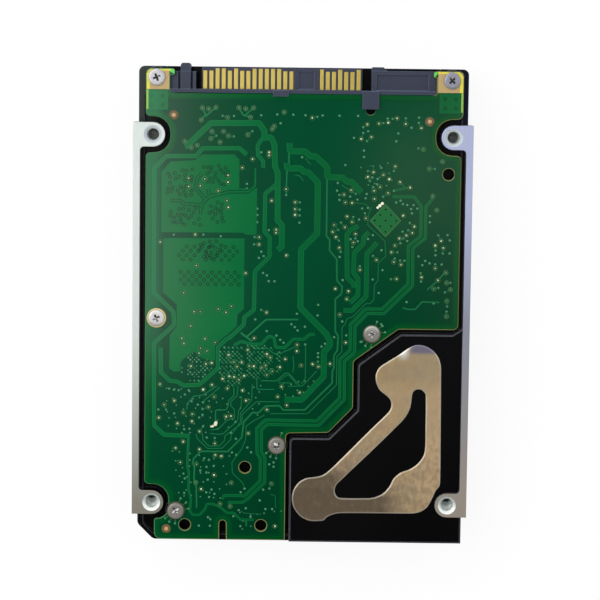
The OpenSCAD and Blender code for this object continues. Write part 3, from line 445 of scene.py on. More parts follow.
def contactFinish(name):
    # gold over nickel, wiped along the way the plug slides, with painted shade on the sides
    finish = Finish(name, Metallic=0.75)
    cloud = finish.noise(220, 3)
    wipes = finish.noise(1600, 2, (7, 0.6, 1))
    colour = finish.mix(cloud * 0.5 + wipes * 0.4, contactLook["gold"], contactLook["wiped"])
    colour = finish.mix(finish.upward().under(0.9, 0.1) * 0.7, colour, contactLook["side"])
    return finish.dress(Base_Color=colour, Roughness=0.24 + wipes * 0.14,
                        Normal=finish.bump(wipes, 0.006 * mm))


screwLook = {"zinc": tone(220, 219, 215), "zincFrontShade": tone(184, 184, 187), "stain": tone(172, 169, 169),
             "plain": tone(115, 109, 100), "plainRimShade": tone(80, 75, 66), "frontRightShade": tone(132, 132, 145),
             "slot": tone(10, 10, 12), "slotDust": tone(30, 30, 32), "slotGlint": tone(236, 236, 234),
             "rearAt": (4.5 * mm, 2 * mm), "frontAt": (20 * mm, 10 * mm), "rightAt": (20 * mm, 4 * mm)}


def screwFinish(name):
    # zinc-plated steel, with painted light and shade by where each screw stands: palest in the middle,
    # darker at the front, bluish grey on the front right one, and darker still on the rear screws, their
    # rims darkest
    look = screwLook
    finish = Finish(name, Metallic=0.6)
    cloud = finish.noise(500, 3)
    rubbed = finish.noise(2600, 2, (1, 5, 1), 31)
    front = finish.y.over(*look["frontAt"])
    zinc = finish.mix(front, look["zinc"], look["zincFrontShade"])
    colour = finish.mix(cloud * 0.6 + rubbed * 0.3, zinc, look["stain"])
    plain = finish.mix(finish.upward().over(0.93, 0.1), look["plainRimShade"], look["plain"])
    colour = finish.mix((0 - finish.y).over(*look["rearAt"]) * 0.85, colour, plain)
    colour = finish.mix(finish.x.over(*look["rightAt"]) * front * 0.85, colour, look["frontRightShade"])
    return finish.dress(Base_Color=colour, Roughness=0.28 + cloud * 0.16,
                        Normal=finish.bump(rubbed, 0.006 * mm))


def slotFinish(name):
    # dark in the recesses with dirt and painted shade, and painted glints, brighter in the rear ones
    look = screwLook
    finish = Finish(name, Specular_IOR_Level=0.3)
    grain = finish.noise(1500, 2)
    dark = finish.mix(grain, look["slot"], look["slotDust"])
    lit = grain.over(0.62, 0.1) * 0.6
    lit = lit.most((0 - finish.y).over(*look["rearAt"]) * grain.over(0.5, 0.12) * 0.9)
    return finish.dress(Base_Color=finish.mix(lit, dark, look["slotGlint"]), Roughness=0.4 + grain * 0.2)


def holeFinish(name, bright, dim):
    # solder in the holes: bright in some, dull under lacquer in others
    finish = Finish(name)
    apart = finish.noise(700, 1).over(0.5, 0.3)
    grain = finish.noise(5000, 2)
    return finish.dress(Base_Color=finish.mix(apart * 0.8 + grain * 0.2, bright, dim),
                        Roughness=0.25 + grain * 0.15)


spindleAxis = (0.0, 10.5 * mm)
mountHoles = [(side * castingLook["holeX"], y) for side in (-1, 1)
              for y in (castingLook["frontHoleY"], castingLook["rearHoleY"])]
finishes = {
    "painted_casting": castingFinish("paintedCasting", mountHoles),
    "cover_aluminium": coverFinish("coverSheet"),
    "gasket_rubber": mouldedFinish("gasketRubber", tone(30, 30, 32), tone(44, 44, 46), 0.6, 3000),
    "screw_steel": screwFinish("screwSteel"),
    "board_green": boardFinish("boardLacquer", boardLook["mask"], boardLook["deep"], True),
    "chip_black": mouldedFinish("chipEpoxy", tone(28, 29, 31), tone(40, 41, 43), 0.5, 5000),
    "passive_brown": mouldedFinish("passiveCeramic", tone(132, 98, 66), tone(160, 128, 94), 0.45, 3500),
    "pad_grey": mouldedFinish("padSilicone", tone(126, 142, 160), tone(150, 164, 178), 0.7, 2600),
    "natural_plastic": mouldedFinish("naturalNylon", tone(208, 200, 180), tone(222, 216, 200), 0.42),
    "polyimide": mouldedFinish("polyimideFilm", tone(176, 108, 30), tone(198, 134, 52), 0.3, 1200),
    "connector_plastic": connectorFinish("connectorPlastic"),
    "contact_gold": contactFinish("contactGold"),
    "foil_metal": foilFinish("foilTape"),
    "bearing_bronze": turnedFinish("bearingBronze", tone(190, 146, 88), tone(150, 108, 62), 0.3,
                                   spindleAxis, 0.2 * mm, 0.003 * mm),
    "laminated_steel": linedFinish("laminatedSteel", tone(150, 152, 158), tone(88, 90, 96), 0.36, 1.0, "z",
                                   0.2 * mm, 0.01 * mm),
    "copper_wire": linedFinish("copperWire", tone(206, 122, 66), tone(120, 58, 28), 0.34, 1.0, "z",
                               0.14 * mm, 0.03 * mm),
    "turned_aluminium": turnedFinish("turnedAluminium", tone(206, 208, 212), tone(170, 173, 178), 0.24,
                                     spindleAxis, 0.25 * mm, 0.003 * mm),
    "steel": metalFinish("plainSteel", tone(196, 198, 202), tone(150, 152, 156), 0.34, 2600, (1, 6, 1), 20),
    "magnet_dark": mouldedFinish("magnetFerrite", tone(58, 58, 62), tone(78, 78, 82), 0.5, 3800),
    "magnet_nickel": metalFinish("magnetNickel", tone(212, 208, 198), tone(176, 172, 162), 0.22, 1200),
    "platter_mirror": metalFinish("discMirror", tone(220, 221, 227), tone(204, 206, 214), 0.08, 600,
                                  depth=0.0001 * mm),
    "slider_ceramic": mouldedFinish("sliderCeramic", tone(52, 50, 50), tone(72, 70, 70), 0.35, 6000),
    "stop_rubber": mouldedFinish("stopRubber", tone(70, 46, 40), tone(88, 60, 52), 0.6),
    "bracket_plastic": mouldedFinish("bracketPlastic", tone(44, 46, 50), tone(58, 60, 64), 0.45),
    "filter_cloth": linedFinish("filterCloth", tone(226, 224, 216), tone(188, 186, 178), 0.8, 0.0, "x",
                                0.4 * mm, 0.04 * mm),
}
for row in frame["record"]["subparts"]:
    cadNode = frame["nodes"][row["node"]]
    if cadNode.material_slots:
        for materialSlot in cadNode.material_slots:
            materialSlot.material = finishes[row["material_slot"]]
    else:
        cadNode.data.materials.append(finishes[row["material_slot"]])
print("finishes on the carried-over nodes:", len(finishes))

# lacquer and metal of the small things on the board
copperMask = boardFinish("copperUnderLacquer", boardLook["copper"], boardLook["copperPale"])
# lighter lacquer: the own colour of the fine tracks, links and tails, and round the wide tracks a painted
# highlight on their edges
edgeSheenAndFineLacquer = boardFinish("lacquerOverEdges", tone(16, 104, 60), tone(38, 116, 74))
darkMask = boardFinish("lacquerInGaps", boardLook["deep"], boardLook["mask"])
clearMask = boardFinish("clearedRing", tone(4, 50, 32), tone(14, 60, 36))
rimWide = boardFinish("rimUnderLacquer", tone(0, 70, 36), tone(0, 76, 40))
rimNear = boardFinish("rimByTheEdge", tone(0, 78, 35), tone(2, 84, 39))
heatMask = boardFinish("heatPadLacquer", tone(8, 104, 55), tone(38, 112, 60))
heatShade = boardFinish("heatHoleShade", tone(0, 24, 12), tone(0, 36, 20))
holeSolder = holeFinish("solderInHoles", tone(222, 232, 194), tone(122, 148, 80))
beadSolder = mouldedFinish("beadSolder", tone(244, 248, 226), tone(206, 204, 160), 0.25, 4000)
paleLacquer = mouldedFinish("lacquerOverHole", tone(70, 136, 96), tone(44, 108, 72), 0.3, 6000)
ringLacquer = mouldedFinish("lacquerOverRing", tone(40, 92, 46), tone(70, 104, 52), 0.3, 4000)
clearing = mouldedFinish("laminateClearing", tone(84, 64, 28), tone(104, 78, 38), 0.4, 3000)
bareCopper = mouldedFinish("bareCopper", tone(188, 160, 112), tone(164, 130, 86), 0.36, 3000)
tanGold = mouldedFinish("earthPad", tone(184, 158, 100), tone(160, 134, 88), 0.34, 2600)
brightGold = mouldedFinish("platedEdge", tone(222, 214, 66), tone(200, 184, 50), 0.25, 2600)
padGold = mouldedFinish("padGold", tone(226, 206, 146), tone(204, 176, 104), 0.3, 3000)
glowEdge = mouldedFinish("litEdge", tone(150, 186, 66), tone(110, 164, 60), 0.3, 2600)
tabGreen = mouldedFinish("thinLacquer", tone(96, 204, 84), tone(70, 176, 66), 0.3, 4000)
seatShade = mouldedFinish("screwSeat", tone(84, 78, 48), tone(60, 64, 40), 0.4, 3000)
slotDark = slotFinish("recessDark")


# limits that the shapes share
upright = 0.9  # a face whose normal stands steeper than this looks up
sharpest = 0.4  # keeps an outline's move short at sharp corners
dotTaper = 0.6  # top of a dot against its foot
scatterSides = 8  # sides of a scattered dot


def objectOf(name, data):
    made = bpy.data.objects.new(name, data)
    bpy.context.scene.collection.objects.link(made)
    return made


def put(name, mesh, material, slot, *nodes):
    # a finished piece on the chassis
    piece = objectOf(name, mesh)
    mesh.materials.clear()
    mesh.materials.append(material)
    mesh.polygons.foreach_set("use_smooth", [False] * len(mesh.polygons))
    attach(piece, "chassis")
    if nodes:
        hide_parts(*nodes)
    return piece


def mergedCopy(node):
    # a node's own mesh with its loose triangles joined
    shell = bmesh.new()
    shell.from_mesh(frame["nodes"][node].data)
    bmesh.ops.remove_doubles(shell, verts=shell.verts, dist=0.001 * mm)
    return shell


def meshOf(name, shell):
    bmesh.ops.recalc_face_normals(shell, faces=shell.faces)
    mesh = bpy.data.meshes.new(name)
    shell.to_mesh(mesh)
    shell.free()
    return mesh


def wall(shell, lower, upper):
    # faces from one ring of points up to the next
    for i in range(len(lower)):
        j = (i + 1) % len(lower)
        shell.faces.new((lower[i], lower[j], upper[j], upper[i]))


def ringEdges(shell, ring):
    return [shell.edges.get((ring[i], ring[(i + 1) % len(ring)])) for i in range(len(ring))]


def beside(line, depth, closed=True):
    # a line moved to its left, which is into the stuff for an outline and for a hole alike
    steps = [(b - a).normalized() for a, b in zip(line, line[1:] + line[:1])]
    if not closed:
        steps[-1] = steps[-2]
    moved = []
    for index, point in enumerate(line):
        before = steps[index - 1] if closed or index else steps[0]
        sideA, sideB = [Vector((-step.y, step.x)) for step in (before, steps[index])]
        moved.append(point + (sideA + sideB) * (depth / max(sharpest, 1 + sideA.dot(sideB))))
    return moved


def plateInto(shell, loops, low, high, rim, drop):
    # a flat plate with bevelled upper edges, from outlines with their holes
    topEdges = []
    footEdges = []
    for loop in loops:
        levels = [(loop, low), (loop, high - drop), (beside(loop, rim), high)]
        rings = [[shell.verts.new((p.x, p.y, z)) for p in points] for points, z in levels]
        for lower, upper in zip(rings, rings[1:]):
            wall(shell, lower, upper)
        footEdges += ringEdges(shell, rings[0])
        topEdges += ringEdges(shell, rings[-1])
    bmesh.ops.triangle_fill(shell, use_beauty=True, edges=topEdges, normal=(0, 0, 1))
    bmesh.ops.triangle_fill(shell, use_beauty=True, edges=footEdges, normal=(0, 0, -1))


def plate(name, loops, low, high, rim, drop):
    shell = bmesh.new()
    plateInto(shell, loops, low, high, rim, drop)
    return meshOf(name, shell)


def leftTurning(loop):
    area = sum(a.x * b.y - a.y * b.x for a, b in zip(loop, loop[1:] + loop[:1]))
    return loop if area > 0 else loop[::-1]


def outlineOf(points):
    return leftTurning([Vector((x * mm, y * mm)) for x, y in points])


def topLoops(node):
    # the outlines of a flat node's upper face, as its own mesh has them
    shell = mergedCopy(node)
    level = max(v.co.z for v in shell.verts)
    upper = [f for f in shell.faces
             if f.normal.z > upright and abs(f.calc_center_median().z - level) < 0.02 * mm]
    follow = {}
    for face in upper:
        for corner in face.loops:
            if sum(f in upper for f in corner.edge.link_faces) == 1:
                follow[corner.vert] = corner.link_loop_next.vert
    loops = []
    while follow:
        start = min(follow, key=lambda v: (round(v.co.x, 6), round(v.co.y, 6)))
        chain = [start]
        step = follow.pop(start)
        while step != start:
            chain.append(step)
            step = follow.pop(step)
        loops.append([Vector(v.co.xy) for v in chain])
    shell.free()
    return loops


boardFoot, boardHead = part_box("circuit_board")
boardTop = boardHead.z
boardSizes = {"rim": 0.16 * mm, "drop": 0.1 * mm, "copper": 0.03 * mm}
boardLoops = topLoops("circuit_board")
boardMesh = plate("boardPanel", boardLoops, boardFoot.z, boardTop, boardSizes["rim"], boardSizes["drop"])
put("boardPanel", boardMesh, finishes["board_green"], "board_green", "circuit_board")
print("board panel made")

# how high each thing on the board stands, in mm over the copper's face or over the lacquer's
copperTop = boardTop + boardSizes["copper"]
overCopper = {"trackEdge": -0.014, "slantTrack": -0.012, "fineTrack": -0.01, "cover": -0.006,
              "tickEnd": -0.004, "copper": 0.0, "gap": 0.004, "tabSide": 0.004, "ring": 0.006,
              "link": 0.008, "heatHole": 0.01, "solder": 0.012, "platedEdge": 0.02, "bead": 0.05}
overBoard = {"rim": 0.005, "rimNear": 0.009, "clearing": 0.012, "bandCore": 0.015, "mark": 0.035}
heads = {key: copperTop + rise * mm for key, rise in overCopper.items()}
heads.update({key: boardTop + rise * mm for key, rise in overBoard.items()})


class Recipe(Graph):
    # a geometry tree with named inputs
    def __init__(self, name, **inputs):
        super().__init__(bpy.data.node_groups.new(name, "GeometryNodeTree"))
        kinds = {float: "NodeSocketFloat", int: "NodeSocketInt", type(None): "NodeSocketObject"}
        face = self.tree.interface
        face.new_socket("Geometry", in_out="INPUT", socket_type="NodeSocketGeometry")
        for key, value in inputs.items():
            made = face.new_socket(key, in_out="INPUT", socket_type=kinds[type(value)])
            if type(value) in (float, int):
                made.default_value = value
        face.new_socket("Finish", in_out="INPUT", socket_type="NodeSocketMaterial")
        face.new_socket("Geometry", in_out="OUTPUT", socket_type="NodeSocketGeometry")
        self.given = self.node("NodeGroupInput")

    def ask(self, key):
        return self.given.other(key)

    def named(self, key):
        return self.node("GeometryNodeInputNamedAttribute", {"data_type": "FLOAT"}, {"Name": key})

    def triple(self, x, y, z):
        return self.node("ShaderNodeCombineXYZ", None, {0: x, 1: y, 2: z})

    def dot(self, sides):
        # a low cone with its tip cut off
        return self.node("GeometryNodeMeshCone", {"fill_type": "NGON"},
                         {"Vertices": sides, "Side Segments": 1, "Radius Bottom": self.ask("Radius"),
                          "Radius Top": self.ask("Radius") * dotTaper, "Depth": self.ask("Height")})

    def onPoints(self, points, form, **more):
        return self.node("GeometryNodeInstanceOnPoints", None, {0: points, "Instance": form, **more})

    def close(self, geometry):
        whole = self.node("GeometryNodeRealizeInstances", None, {0: geometry})
        dressed = self.node("GeometryNodeSetMaterial", None, {0: whole, "Material": self.ask("Finish")})
        self.node("NodeGroupOutput", None, {0: dressed})
        return self


def grown(source, recipe, **inputs):
    # runs a tree on a carrier object and gives the plain mesh
    modifier = source.modifiers.new(recipe.tree.name, "NODES")
    modifier.node_group = recipe.tree
    for item in recipe.tree.interface.items_tree:
        if item.in_out == "INPUT" and item.name in inputs:
            modifier[item.identifier] = inputs[item.name]
    bpy.context.view_layer.update()
    mesh = bpy.data.meshes.new_from_object(source.evaluated_get(bpy.context.evaluated_depsgraph_get()))
    source.modifiers.remove(modifier)
    bpy.data.objects.remove(source)
    return mesh


def carrier(name, points, edges=(), **values):
    # loose points or lines with numbers on them, for a tree to work on
    mesh = bpy.data.meshes.new(name)
    mesh.from_pydata(points, list(edges), [])
    for key, numbers in values.items():
        mesh.attributes.new(key, "FLOAT", "POINT").data.foreach_set("value", numbers)
    return objectOf(name, mesh)


# in mm, but for the steps of a bend and the thinness of the ribbon's form
trackSizes = {"edge": 0.2, "fine": 0.45, "bend": 0.4, "fineBend": 0.25, "step": 0.0004, "bendSteps": 5,
              "thin": 0.02}


def trackTree():
    # a path, rounded at its bends, drawn out as a flat ribbon of its own width
    tree = Recipe("copperTrack", Bend=trackSizes["bend"] * mm, Foot=0.0, Head=0.0)
    foot = tree.ask("Foot")
    line = tree.node("GeometryNodeMeshToCurve", None, {0: tree.ask("Geometry")})
    line = tree.node("GeometryNodeFilletCurve", {"mode": "POLY"},
                     {0: line, "Count": trackSizes["bendSteps"], "Radius": tree.ask("Bend"),
                      "Limit Radius": True})
    line = tree.node("GeometryNodeSetCurveNormal", {"mode": "Z_UP"}, {0: line})
    form = tree.node("GeometryNodeCurvePrimitiveQuadrilateral", {"mode": "RECTANGLE"},
                     {"Width": 1.0, "Height": trackSizes["thin"]})
    ribbon = tree.node("GeometryNodeCurveToMesh", None,
                       {0: line, 1: form, "Scale": tree.named("width"), "Fill Caps": True})
    spot = tree.node("ShaderNodeSeparateXYZ", None, {0: tree.node("GeometryNodeInputPosition")})
    # the ribbon's lower half goes down to the foot, its upper half up to the head
    lift = (spot.other(2) - foot).over(0.0, 1e-9)
    level = foot + lift * (tree.ask("Head") - foot + tree.named("rise"))
    flat = tree.triple(spot, spot.other(1), level)
    return tree.close(tree.node("GeometryNodeSetPosition", None, {0: ribbon, "Position": flat}))


trackRecipe = trackTree()


def tracks(name, routes, head, material, bend=trackSizes["bend"]):
    # routes: lists of (width, points) in mm, each a hair higher than the one before
    points = []
    edges = []
    widths = []
    rises = []
    for index, (width, route) in enumerate(routes):
        first = len(points)
        rises += [index * trackSizes["step"] * mm] * len(route)
        points += [(x * mm, y * mm, boardTop) for x, y in route]
        widths += [width * mm] * len(route)
        edges += [(i, i + 1) for i in range(first, len(points) - 1)]
    mesh = grown(carrier(name, points, edges, width=widths, rise=rises), trackRecipe,
                 Bend=bend * mm, Foot=boardTop, Head=heads[head], Finish=material)
    return put(name, mesh, material, "board_green")


# copper tracks: width and path, in mm
trackRoutes = [
    # from the front screw round the left edge
    (0.83, [(-11.6, 31.1), (-13.1, 32.4), (-20.7, 32.3), (-22, 30.7), (-28.1, 30.6), (-30.6, 28.1),
            (-30.6, 2.4), (-26.5, -1.6), (-26.3, -4.3), (-30.5, -8.2), (-30.4, -25.4), (-28.3, -27.4),
            (-22.9, -27.6)]),
    (0.5, [(-23.2, -27.6), (-23.4, -34), (-23.1, -35.1), (-23.1, -39), (-22.6, -40.8), (-22.8, -43.5),
           (-22.2, -44.3), (-20.8, -44.3), (-19.6, -43), (-19.3, -41.9), (-17.8, -42), (-16.5, -42.6),
           (-15, -43.8), (-13.6, -43.8), (-12.2, -45.2), (-9.4, -45.2)]),
    (0.4, [(-11, -45.2), (-11, -46.6)]),
    # upper left, to the connector
    (1.15, [(-24.2, 32.5), (-19, 37.5), (-9.1, 37.6), (-8, 36), (-8, 34.8)]),
    (0.75, [(-8, 34.8), (-8.9, 33.8), (-9.4, 32.9), (-9.3, 31), (-8.2, 29.8), (-8.2, 28.4)]),
    (1.15, [(-8.3, 34.6), (-6.6, 34.7), (-5.9, 33.1), (-5.8, 28.9), (-5.2, 27.4), (-5.1, 17.6),
            (-4.2, 16.7), (-4.2, 12.2), (-5, 11.5)]),
    # long middle run
    (0.8, [(-5.5, 25), (-7.7, 23.1), (-7.8, 15.2), (-6.7, 14.1), (-6.7, 10.1), (-9.7, 7), (-9.8, -1),
           (-11.8, -2.6), (-11.9, -4.1), (-14.7, -6.8), (-15.5, -7.2), (-17.2, -8.9), (-17.2, -13.3),
           (-21, -16.8), (-24.3, -17), (-25.6, -16.2), (-27.2, -16), (-29, -14.3), (-29.1, -9.1)]),
    # the two wide supply runs
    (1.2, [(-2.8, 33.6), (-2.8, 31.9), (0.4, 31.9), (1.5, 30.9), (2.6, 30.9), (5, 28.7), (5, 26.7),
           (8.2, 26.6), (9.1, 25.8), (10, 25.8), (12.1, 23.6)]),
    (1.2, [(-3.3, 29.5), (-3.3, 28.4), (-0.5, 28.4), (0.2, 27.7), (1.1, 27.6), (3.1, 25.6), (3.1, 15),
           (-0.2, 11.6), (-0.2, -0.4), (5.2, -5.8), (6, -7.3), (6, -8.3), (4.8, -9.6), (4.8, -14.8),
           (0.3, -19.7), (-3.3, -19.7)]),
    (0.35, [(-2.9, 31.6), (-2.9, 29.5)]),
    (0.3, [(-3.3, 28.2), (-3.4, 22.9)]),
    (0.35, [(5, 26.2), (5, 14.5), (5.7, 13.8), (5.7, 11.5), (7.2, 9.8), (7.3, 5.3), (8.4, 4.1),
            (8.3, 2.6), (7, 1.4), (7.1, -5.3), (7.7, -6.2), (7.6, -9.2), (6.9, -10.3), (6.9, -12.9),
            (6.6, -13.7), (6.6, -16.1), (1, -21.8), (-3.5, -21.9), (-4.3, -21), (-7.2, -21.1),
            (-8.7, -22.6), (-9.9, -22.5), (-11.7, -24.5), (-12.1, -27.8), (-15, -30.8), (-20.6, -30.8),
            (-22.1, -32.4), (-22.3, -33.3), (-21.9, -34.2), (-22, -36.7), (-21.5, -38.5), (-21.4, -42.8)]),
    # the ends of the paired bands
    (0.6, [(-11.5, -40.2), (-12.2, -40.1), (-15.8, -40.1), (-16, -40.9)]),
    (0.6, [(-10.9, -40.9), (-11.7, -41.5), (-14.9, -41.6)]),
    # three runs from the motor driver
    (0.92, [(11.6, 16.7), (9.9, 15.8), (9.2, 14.7), (9.4, 5.9), (10.8, 4.7), (10.8, 3.8)]),
    (0.92, [(13.8, 15.4), (12.8, 14.5), (12.6, 13), (10.8, 11.1), (10.7, 7), (11.7, 5.7), (11.7, 2.3),
            (10.1, 0.7)]),
    (0.92, [(15.5, 13.3), (13.4, 10.9), (13.4, 2.1), (10.5, -0.9), (8.7, -0.9)]),
    # lower middle
    (0.35, [(-0.6, -2.9), (-7.3, -3), (-11.3, -6.7)]),
    (0.4, [(-12.5, -5.8), (-10.1, -7.6)]),
    (0.6, [(2.9, -6), (1.7, -6), (0.7, -7), (-1.6, -7), (-3.3, -8.8), (-5.2, -8.8), (-5.6, -6.7),
           (-6.7, -6.5), (-8.2, -8.1), (-10.2, -8.2), (-12.4, -7.6), (-13.9, -8.5)]),
    # looped tails by the front edge
    (0.3, [(-20.8, 40.6), (-20.1, 39.2), (-21, 38.1)]),
    (0.3, [(-18, 40.7), (-20.1, 38.9)]),
    (0.3, [(-13.3, 40.7), (-12.4, 39.2), (-10.9, 38.8)]),
    (0.3, [(-10.3, 40.7), (-12.2, 39)]),
    # right side
    (0.3, [(21, -0.2), (22, -0.5), (23.6, -0.5), (25, 1.1), (28.6, 1)]),
    (0.3, [(26, 3.6), (28.2, 5.6), (29.4, 7)]),
    (0.46, [(18.9, 24.1), (21.3, 24.6)]),
    (0.3, [(21.2, 24.6), (22.1, 24.7)]),
]
thinRoutes = [
    # from the motor driver to the rear left
    (0.18, [(14.2, 20.6), (13.6, 18.9), (13.5, 16.9), (17.1, 13.6), (17.3, 10.5), (15.8, 9), (15.8, 5.4),
            (15.1, 4.5), (15, 1.5), (14.3, 0.6), (13.4, 0.6), (10.7, -2.2), (9.5, -2.6), (9.1, -3.8),
            (8.5, -4.4), (8.5, -9.6), (7.5, -10.5), (7.5, -16.5), (1.6, -22.6), (-6.2, -22.7)]),
    (0.18, [(-7.4, -23), (-9.6, -24.2), (-11.2, -25.4), (-11.3, -28.3), (-12.2, -30.4), (-14.1, -33.1),
            (-14, -35.3), (-11.8, -37.4), (-11.4, -38.7)]),
    # the fan below the controller
    (0.18, [(-10, -16.5), (-10.1, -19.9), (-12.4, -22.7), (-12.4, -24.6), (-14.3, -27.3), (-14.4, -28.3),
            (-16.2, -30.1), (-19.2, -30.2), (-21.4, -28.1), (-21.6, -27.2)]),
    (0.18, [(-4.3, -20.2), (-9.1, -20.2), (-12, -22.9), (-12.1, -24.8), (-15.6, -27.5), (-15.7, -28.5),
            (-16.7, -29.6), (-18.9, -29.7), (-20.2, -28.4), (-20.3, -27)]),
    (0.18, [(-13, -16.9), (-13.1, -18.9), (-14.4, -20.3), (-14.5, -21), (-13.7, -21.9), (-13.6, -23.8),
            (-15.2, -24.2), (-16.9, -26), (-18.6, -26.3)]),
    (0.18, [(-12.2, -19.1), (-12.3, -21.5), (-12.8, -22.1), (-13, -24.2), (-15.9, -27), (-16.9, -27.2),
            (-18.7, -27)]),
    (0.22, [(-17.6, -24.6), (-17.6, -22.1), (-15.4, -22), (-15, -21.2), (-14.9, -20.1), (-13.8, -18.9),
            (-13.8, -17.4)]),
    (0.2, [(-23.6, -22.1), (-23.5, -20.7), (-22.1, -19.2), (-20.3, -19), (-17.4, -17)]),
    (0.18, [(-20.1, -20.6), (-19.8, -19.9), (-18.1, -18.5), (-16.8, -17.3)]),
    # round the controller's right corner
    (0.2, [(-9.1, -15.2), (-9, -17.6), (-5.4, -17.6)]),
    (0.22, [(-8.2, -15.8), (-5, -15.8), (-3.2, -14.2), (-2.4, -14.2), (-0.2, -16.7)]),
    (0.16, [(-4.6, -15.9), (-3.1, -14.7), (-2.3, -14.6), (-0.8, -16.5)]),
    (0.18, [(1, -8.3), (1, -15.2), (0.2, -16.4)]),
    (0.18, [(3.4, -13.6), (0.4, -16.8), (-2.6, -16.9)]),
    (0.18, [(-1.6, -10.6), (-1.4, -12.4), (-1.6, -14)]),
    (0.2, [(-9.6, -9.1), (-7, -9), (-5.5, -10.1), (-4, -9.9), (-1.3, -8.7)]),
    (0.18, [(-4.5, -16.2), (-1.9, -16.2)]),
    # round the motor driver
    (0.18, [(20, 25.7), (21.2, 24.7)]),
    (0.18, [(8, 25.1), (10.9, 23.2)]),
    (0.18, [(13.6, 29.1), (14.3, 29.1), (14.5, 28.6), (14.4, 27.8)]),
    (0.16, [(10.8, 21.5), (13, 21.2), (13.7, 20.6)]),
    (0.18, [(0.4, 30.5), (1.6, 29.2)]),
    (0.18, [(-1.6, 27), (-0.7, 26.9), (0.1, 25.9)]),
    # rear left corner
    (0.18, [(-12.2, -43.3), (-11.4, -43.8), (-7.8, -44)]),
    (0.18, [(-6, -39.7), (-5, -40), (-4.9, -42.7)]),
]
wideRoutes = [(width - trackSizes["edge"], route) for width, route in trackRoutes
              if width > trackSizes["fine"]]
tracks("boardTracks", wideRoutes, "copper", copperMask)
# the lighter border round each wide track is a painted highlight
tracks("boardTrackEdges", trackRoutes, "trackEdge", edgeSheenAndFineLacquer)
tracks("boardFineTracks", thinRoutes, "fineTrack", edgeSheenAndFineLacquer, trackSizes["fineBend"])

# the paired bands that run from the motor driver to the rear
pairPath = [(24.95, 20.9), (24.95, 14.5), (22.4, 12.4), (22.5, 4.6), (16.9, -1), (13.5, -1), (10.7, -4),
            (10.7, -9.4), (8.6, -11.3), (8.7, -19.4), (3.7, -24.6), (-7, -24.5), (-8.5, -26), (-8.4, -31),
            (-7.7, -32.2), (-7.7, -37.1), (-11.2, -40.6)]
bandSizes = {"width": 0.6, "offset": 0.48, "core": 0.46}
bandStarts = {1: [(26.9, 22.7), (26.3, 21.8)], -1: [(18.5, 22.8), (23, 22.8)]}
pairLine = [Vector(p) for p in pairPath]
bandPaths = [start + beside(pairLine, side * bandSizes["offset"], False)
             for side, start in bandStarts.items()]
bandInner = bandSizes["width"] - trackSizes["edge"]
tracks("boardBands", [(bandInner, path) for path in bandPaths], "copper", copperMask)
# the bands' lighter border is a painted highlight
tracks("boardBandEdges", [(bandSizes["width"], path) for path in bandPaths], "trackEdge", edgeSheenAndFineLacquer)

# copper left along the edge of the board, all the way round
rimSizes = {"near": 0.2 * mm, "middle": 0.95 * mm, "far": 1.36 * mm, "spacing": 0.1 * mm, "lip": 0.003 * mm}
boardOutline = max(boardLoops, key=lambda loop: max(p.x for p in loop) - min(p.x for p in loop))


def insideLine(depth):
    # the board's outline moved in, with the knots cut off that it ties at tight corners
    line = beside(boardOutline, depth)
    knot = True
    while knot:
        count = len(line)
        knot = None
        for i in range(count - 2):
            for j in range(i + 2, count - (i == 0)):
                met = intersect_line_line_2d(line[i], line[i + 1], line[j], line[(j + 1) % count])
                if met and not knot:
                    knot = (met, line[i + 1:j + 1], line[j + 1:] + line[:i + 1])
        if knot:
            line = [knot[0]] + max(knot[1:], key=len)
    spaced = line[:1]
    for point in line[1:]:
        if (point - spaced[-1]).length > rimSizes["spacing"]:
            spaced.append(point)
    return spaced


def rimBand(name, far, head, material):
    loops = [insideLine(rimSizes["near"]), insideLine(rimSizes[far])[::-1]]
    mesh = plate(name, loops, boardTop, heads[head], rimSizes["lip"], rimSizes["lip"])
    return put(name, mesh, material, "board_green")


rimBand("boardRim", "far", "rim", rimWide)
rimBand("boardRimNear", "middle", "rimNear", rimNear)
tracks("bandCore", [(bandSizes["core"], pairPath)], "bandCore", rimWide)
print("tracks drawn")

padSizes = {"rim": 0.03 * mm, "drop": 0.015 * mm, "platedRim": 0.05 * mm, "platedDrop": 0.03 * mm}


def pads(name, outlines, material, head="copper", slot="board_green", rim="rim", drop="drop"):
    # flat fields of metal or lacquer on the board
    shell = bmesh.new()
    for points in outlines:
        plateInto(shell, [outlineOf(points)], boardTop, heads[head], padSizes[rim], padSizes[drop])
    return put(name, meshOf(name, shell), material, slot)


# copper fields on the left, and the gaps cut into the upper one
pourOutlines = [
    [(-29.1, 27.4), (-27.2, 29.5), (-22.2, 29.8), (-20.7, 31), (-14.2, 31.1), (-13.1, 30.1),
     (-13.1, 24.1), (-9.4, 24.2), (-9.4, 14.6), (-11.5, 14.6), (-12.1, 15), (-29.1, 14.9)],
    [(-28.7, 13.7), (-28.7, 2.4), (-25.8, -0.1), (-25.8, -4.7), (-27.2, -6.5), (-27.3, -13.4),
     (-26.4, -14.1), (-25, -14), (-24.9, -12), (-23.3, -10.5), (-22.1, -9.9), (-21.1, -10.9),
     (-19.7, -11.5), (-17.8, -11.7), (-17.8, -8.5), (-16, -6.7), (-15.2, -6.2), (-13.3, -4.4),
     (-13.2, -2), (-11.9, -0.8), (-11.9, 13.8)],
]
gapRoutes = [
    [(-9.8, 28.3), (-9.8, 24.7), (-11.2, 23.5), (-15.1, 23.4), (-19.1, 22.4), (-20, 21.7), (-22, 24.1),
     (-21.8, 26), (-20.8, 27.1)],
    [(-20, 21.7), (-20.8, 20.6), (-24.5, 20.8), (-25.3, 21.5), (-27.3, 21.5)],
    [(-20.8, 20.6), (-21.1, 18.6)],
    [(-19.1, 22.4), (-19.5, 24)],
]
gapSizes = {"gap": 0.78, "link": 0.36}
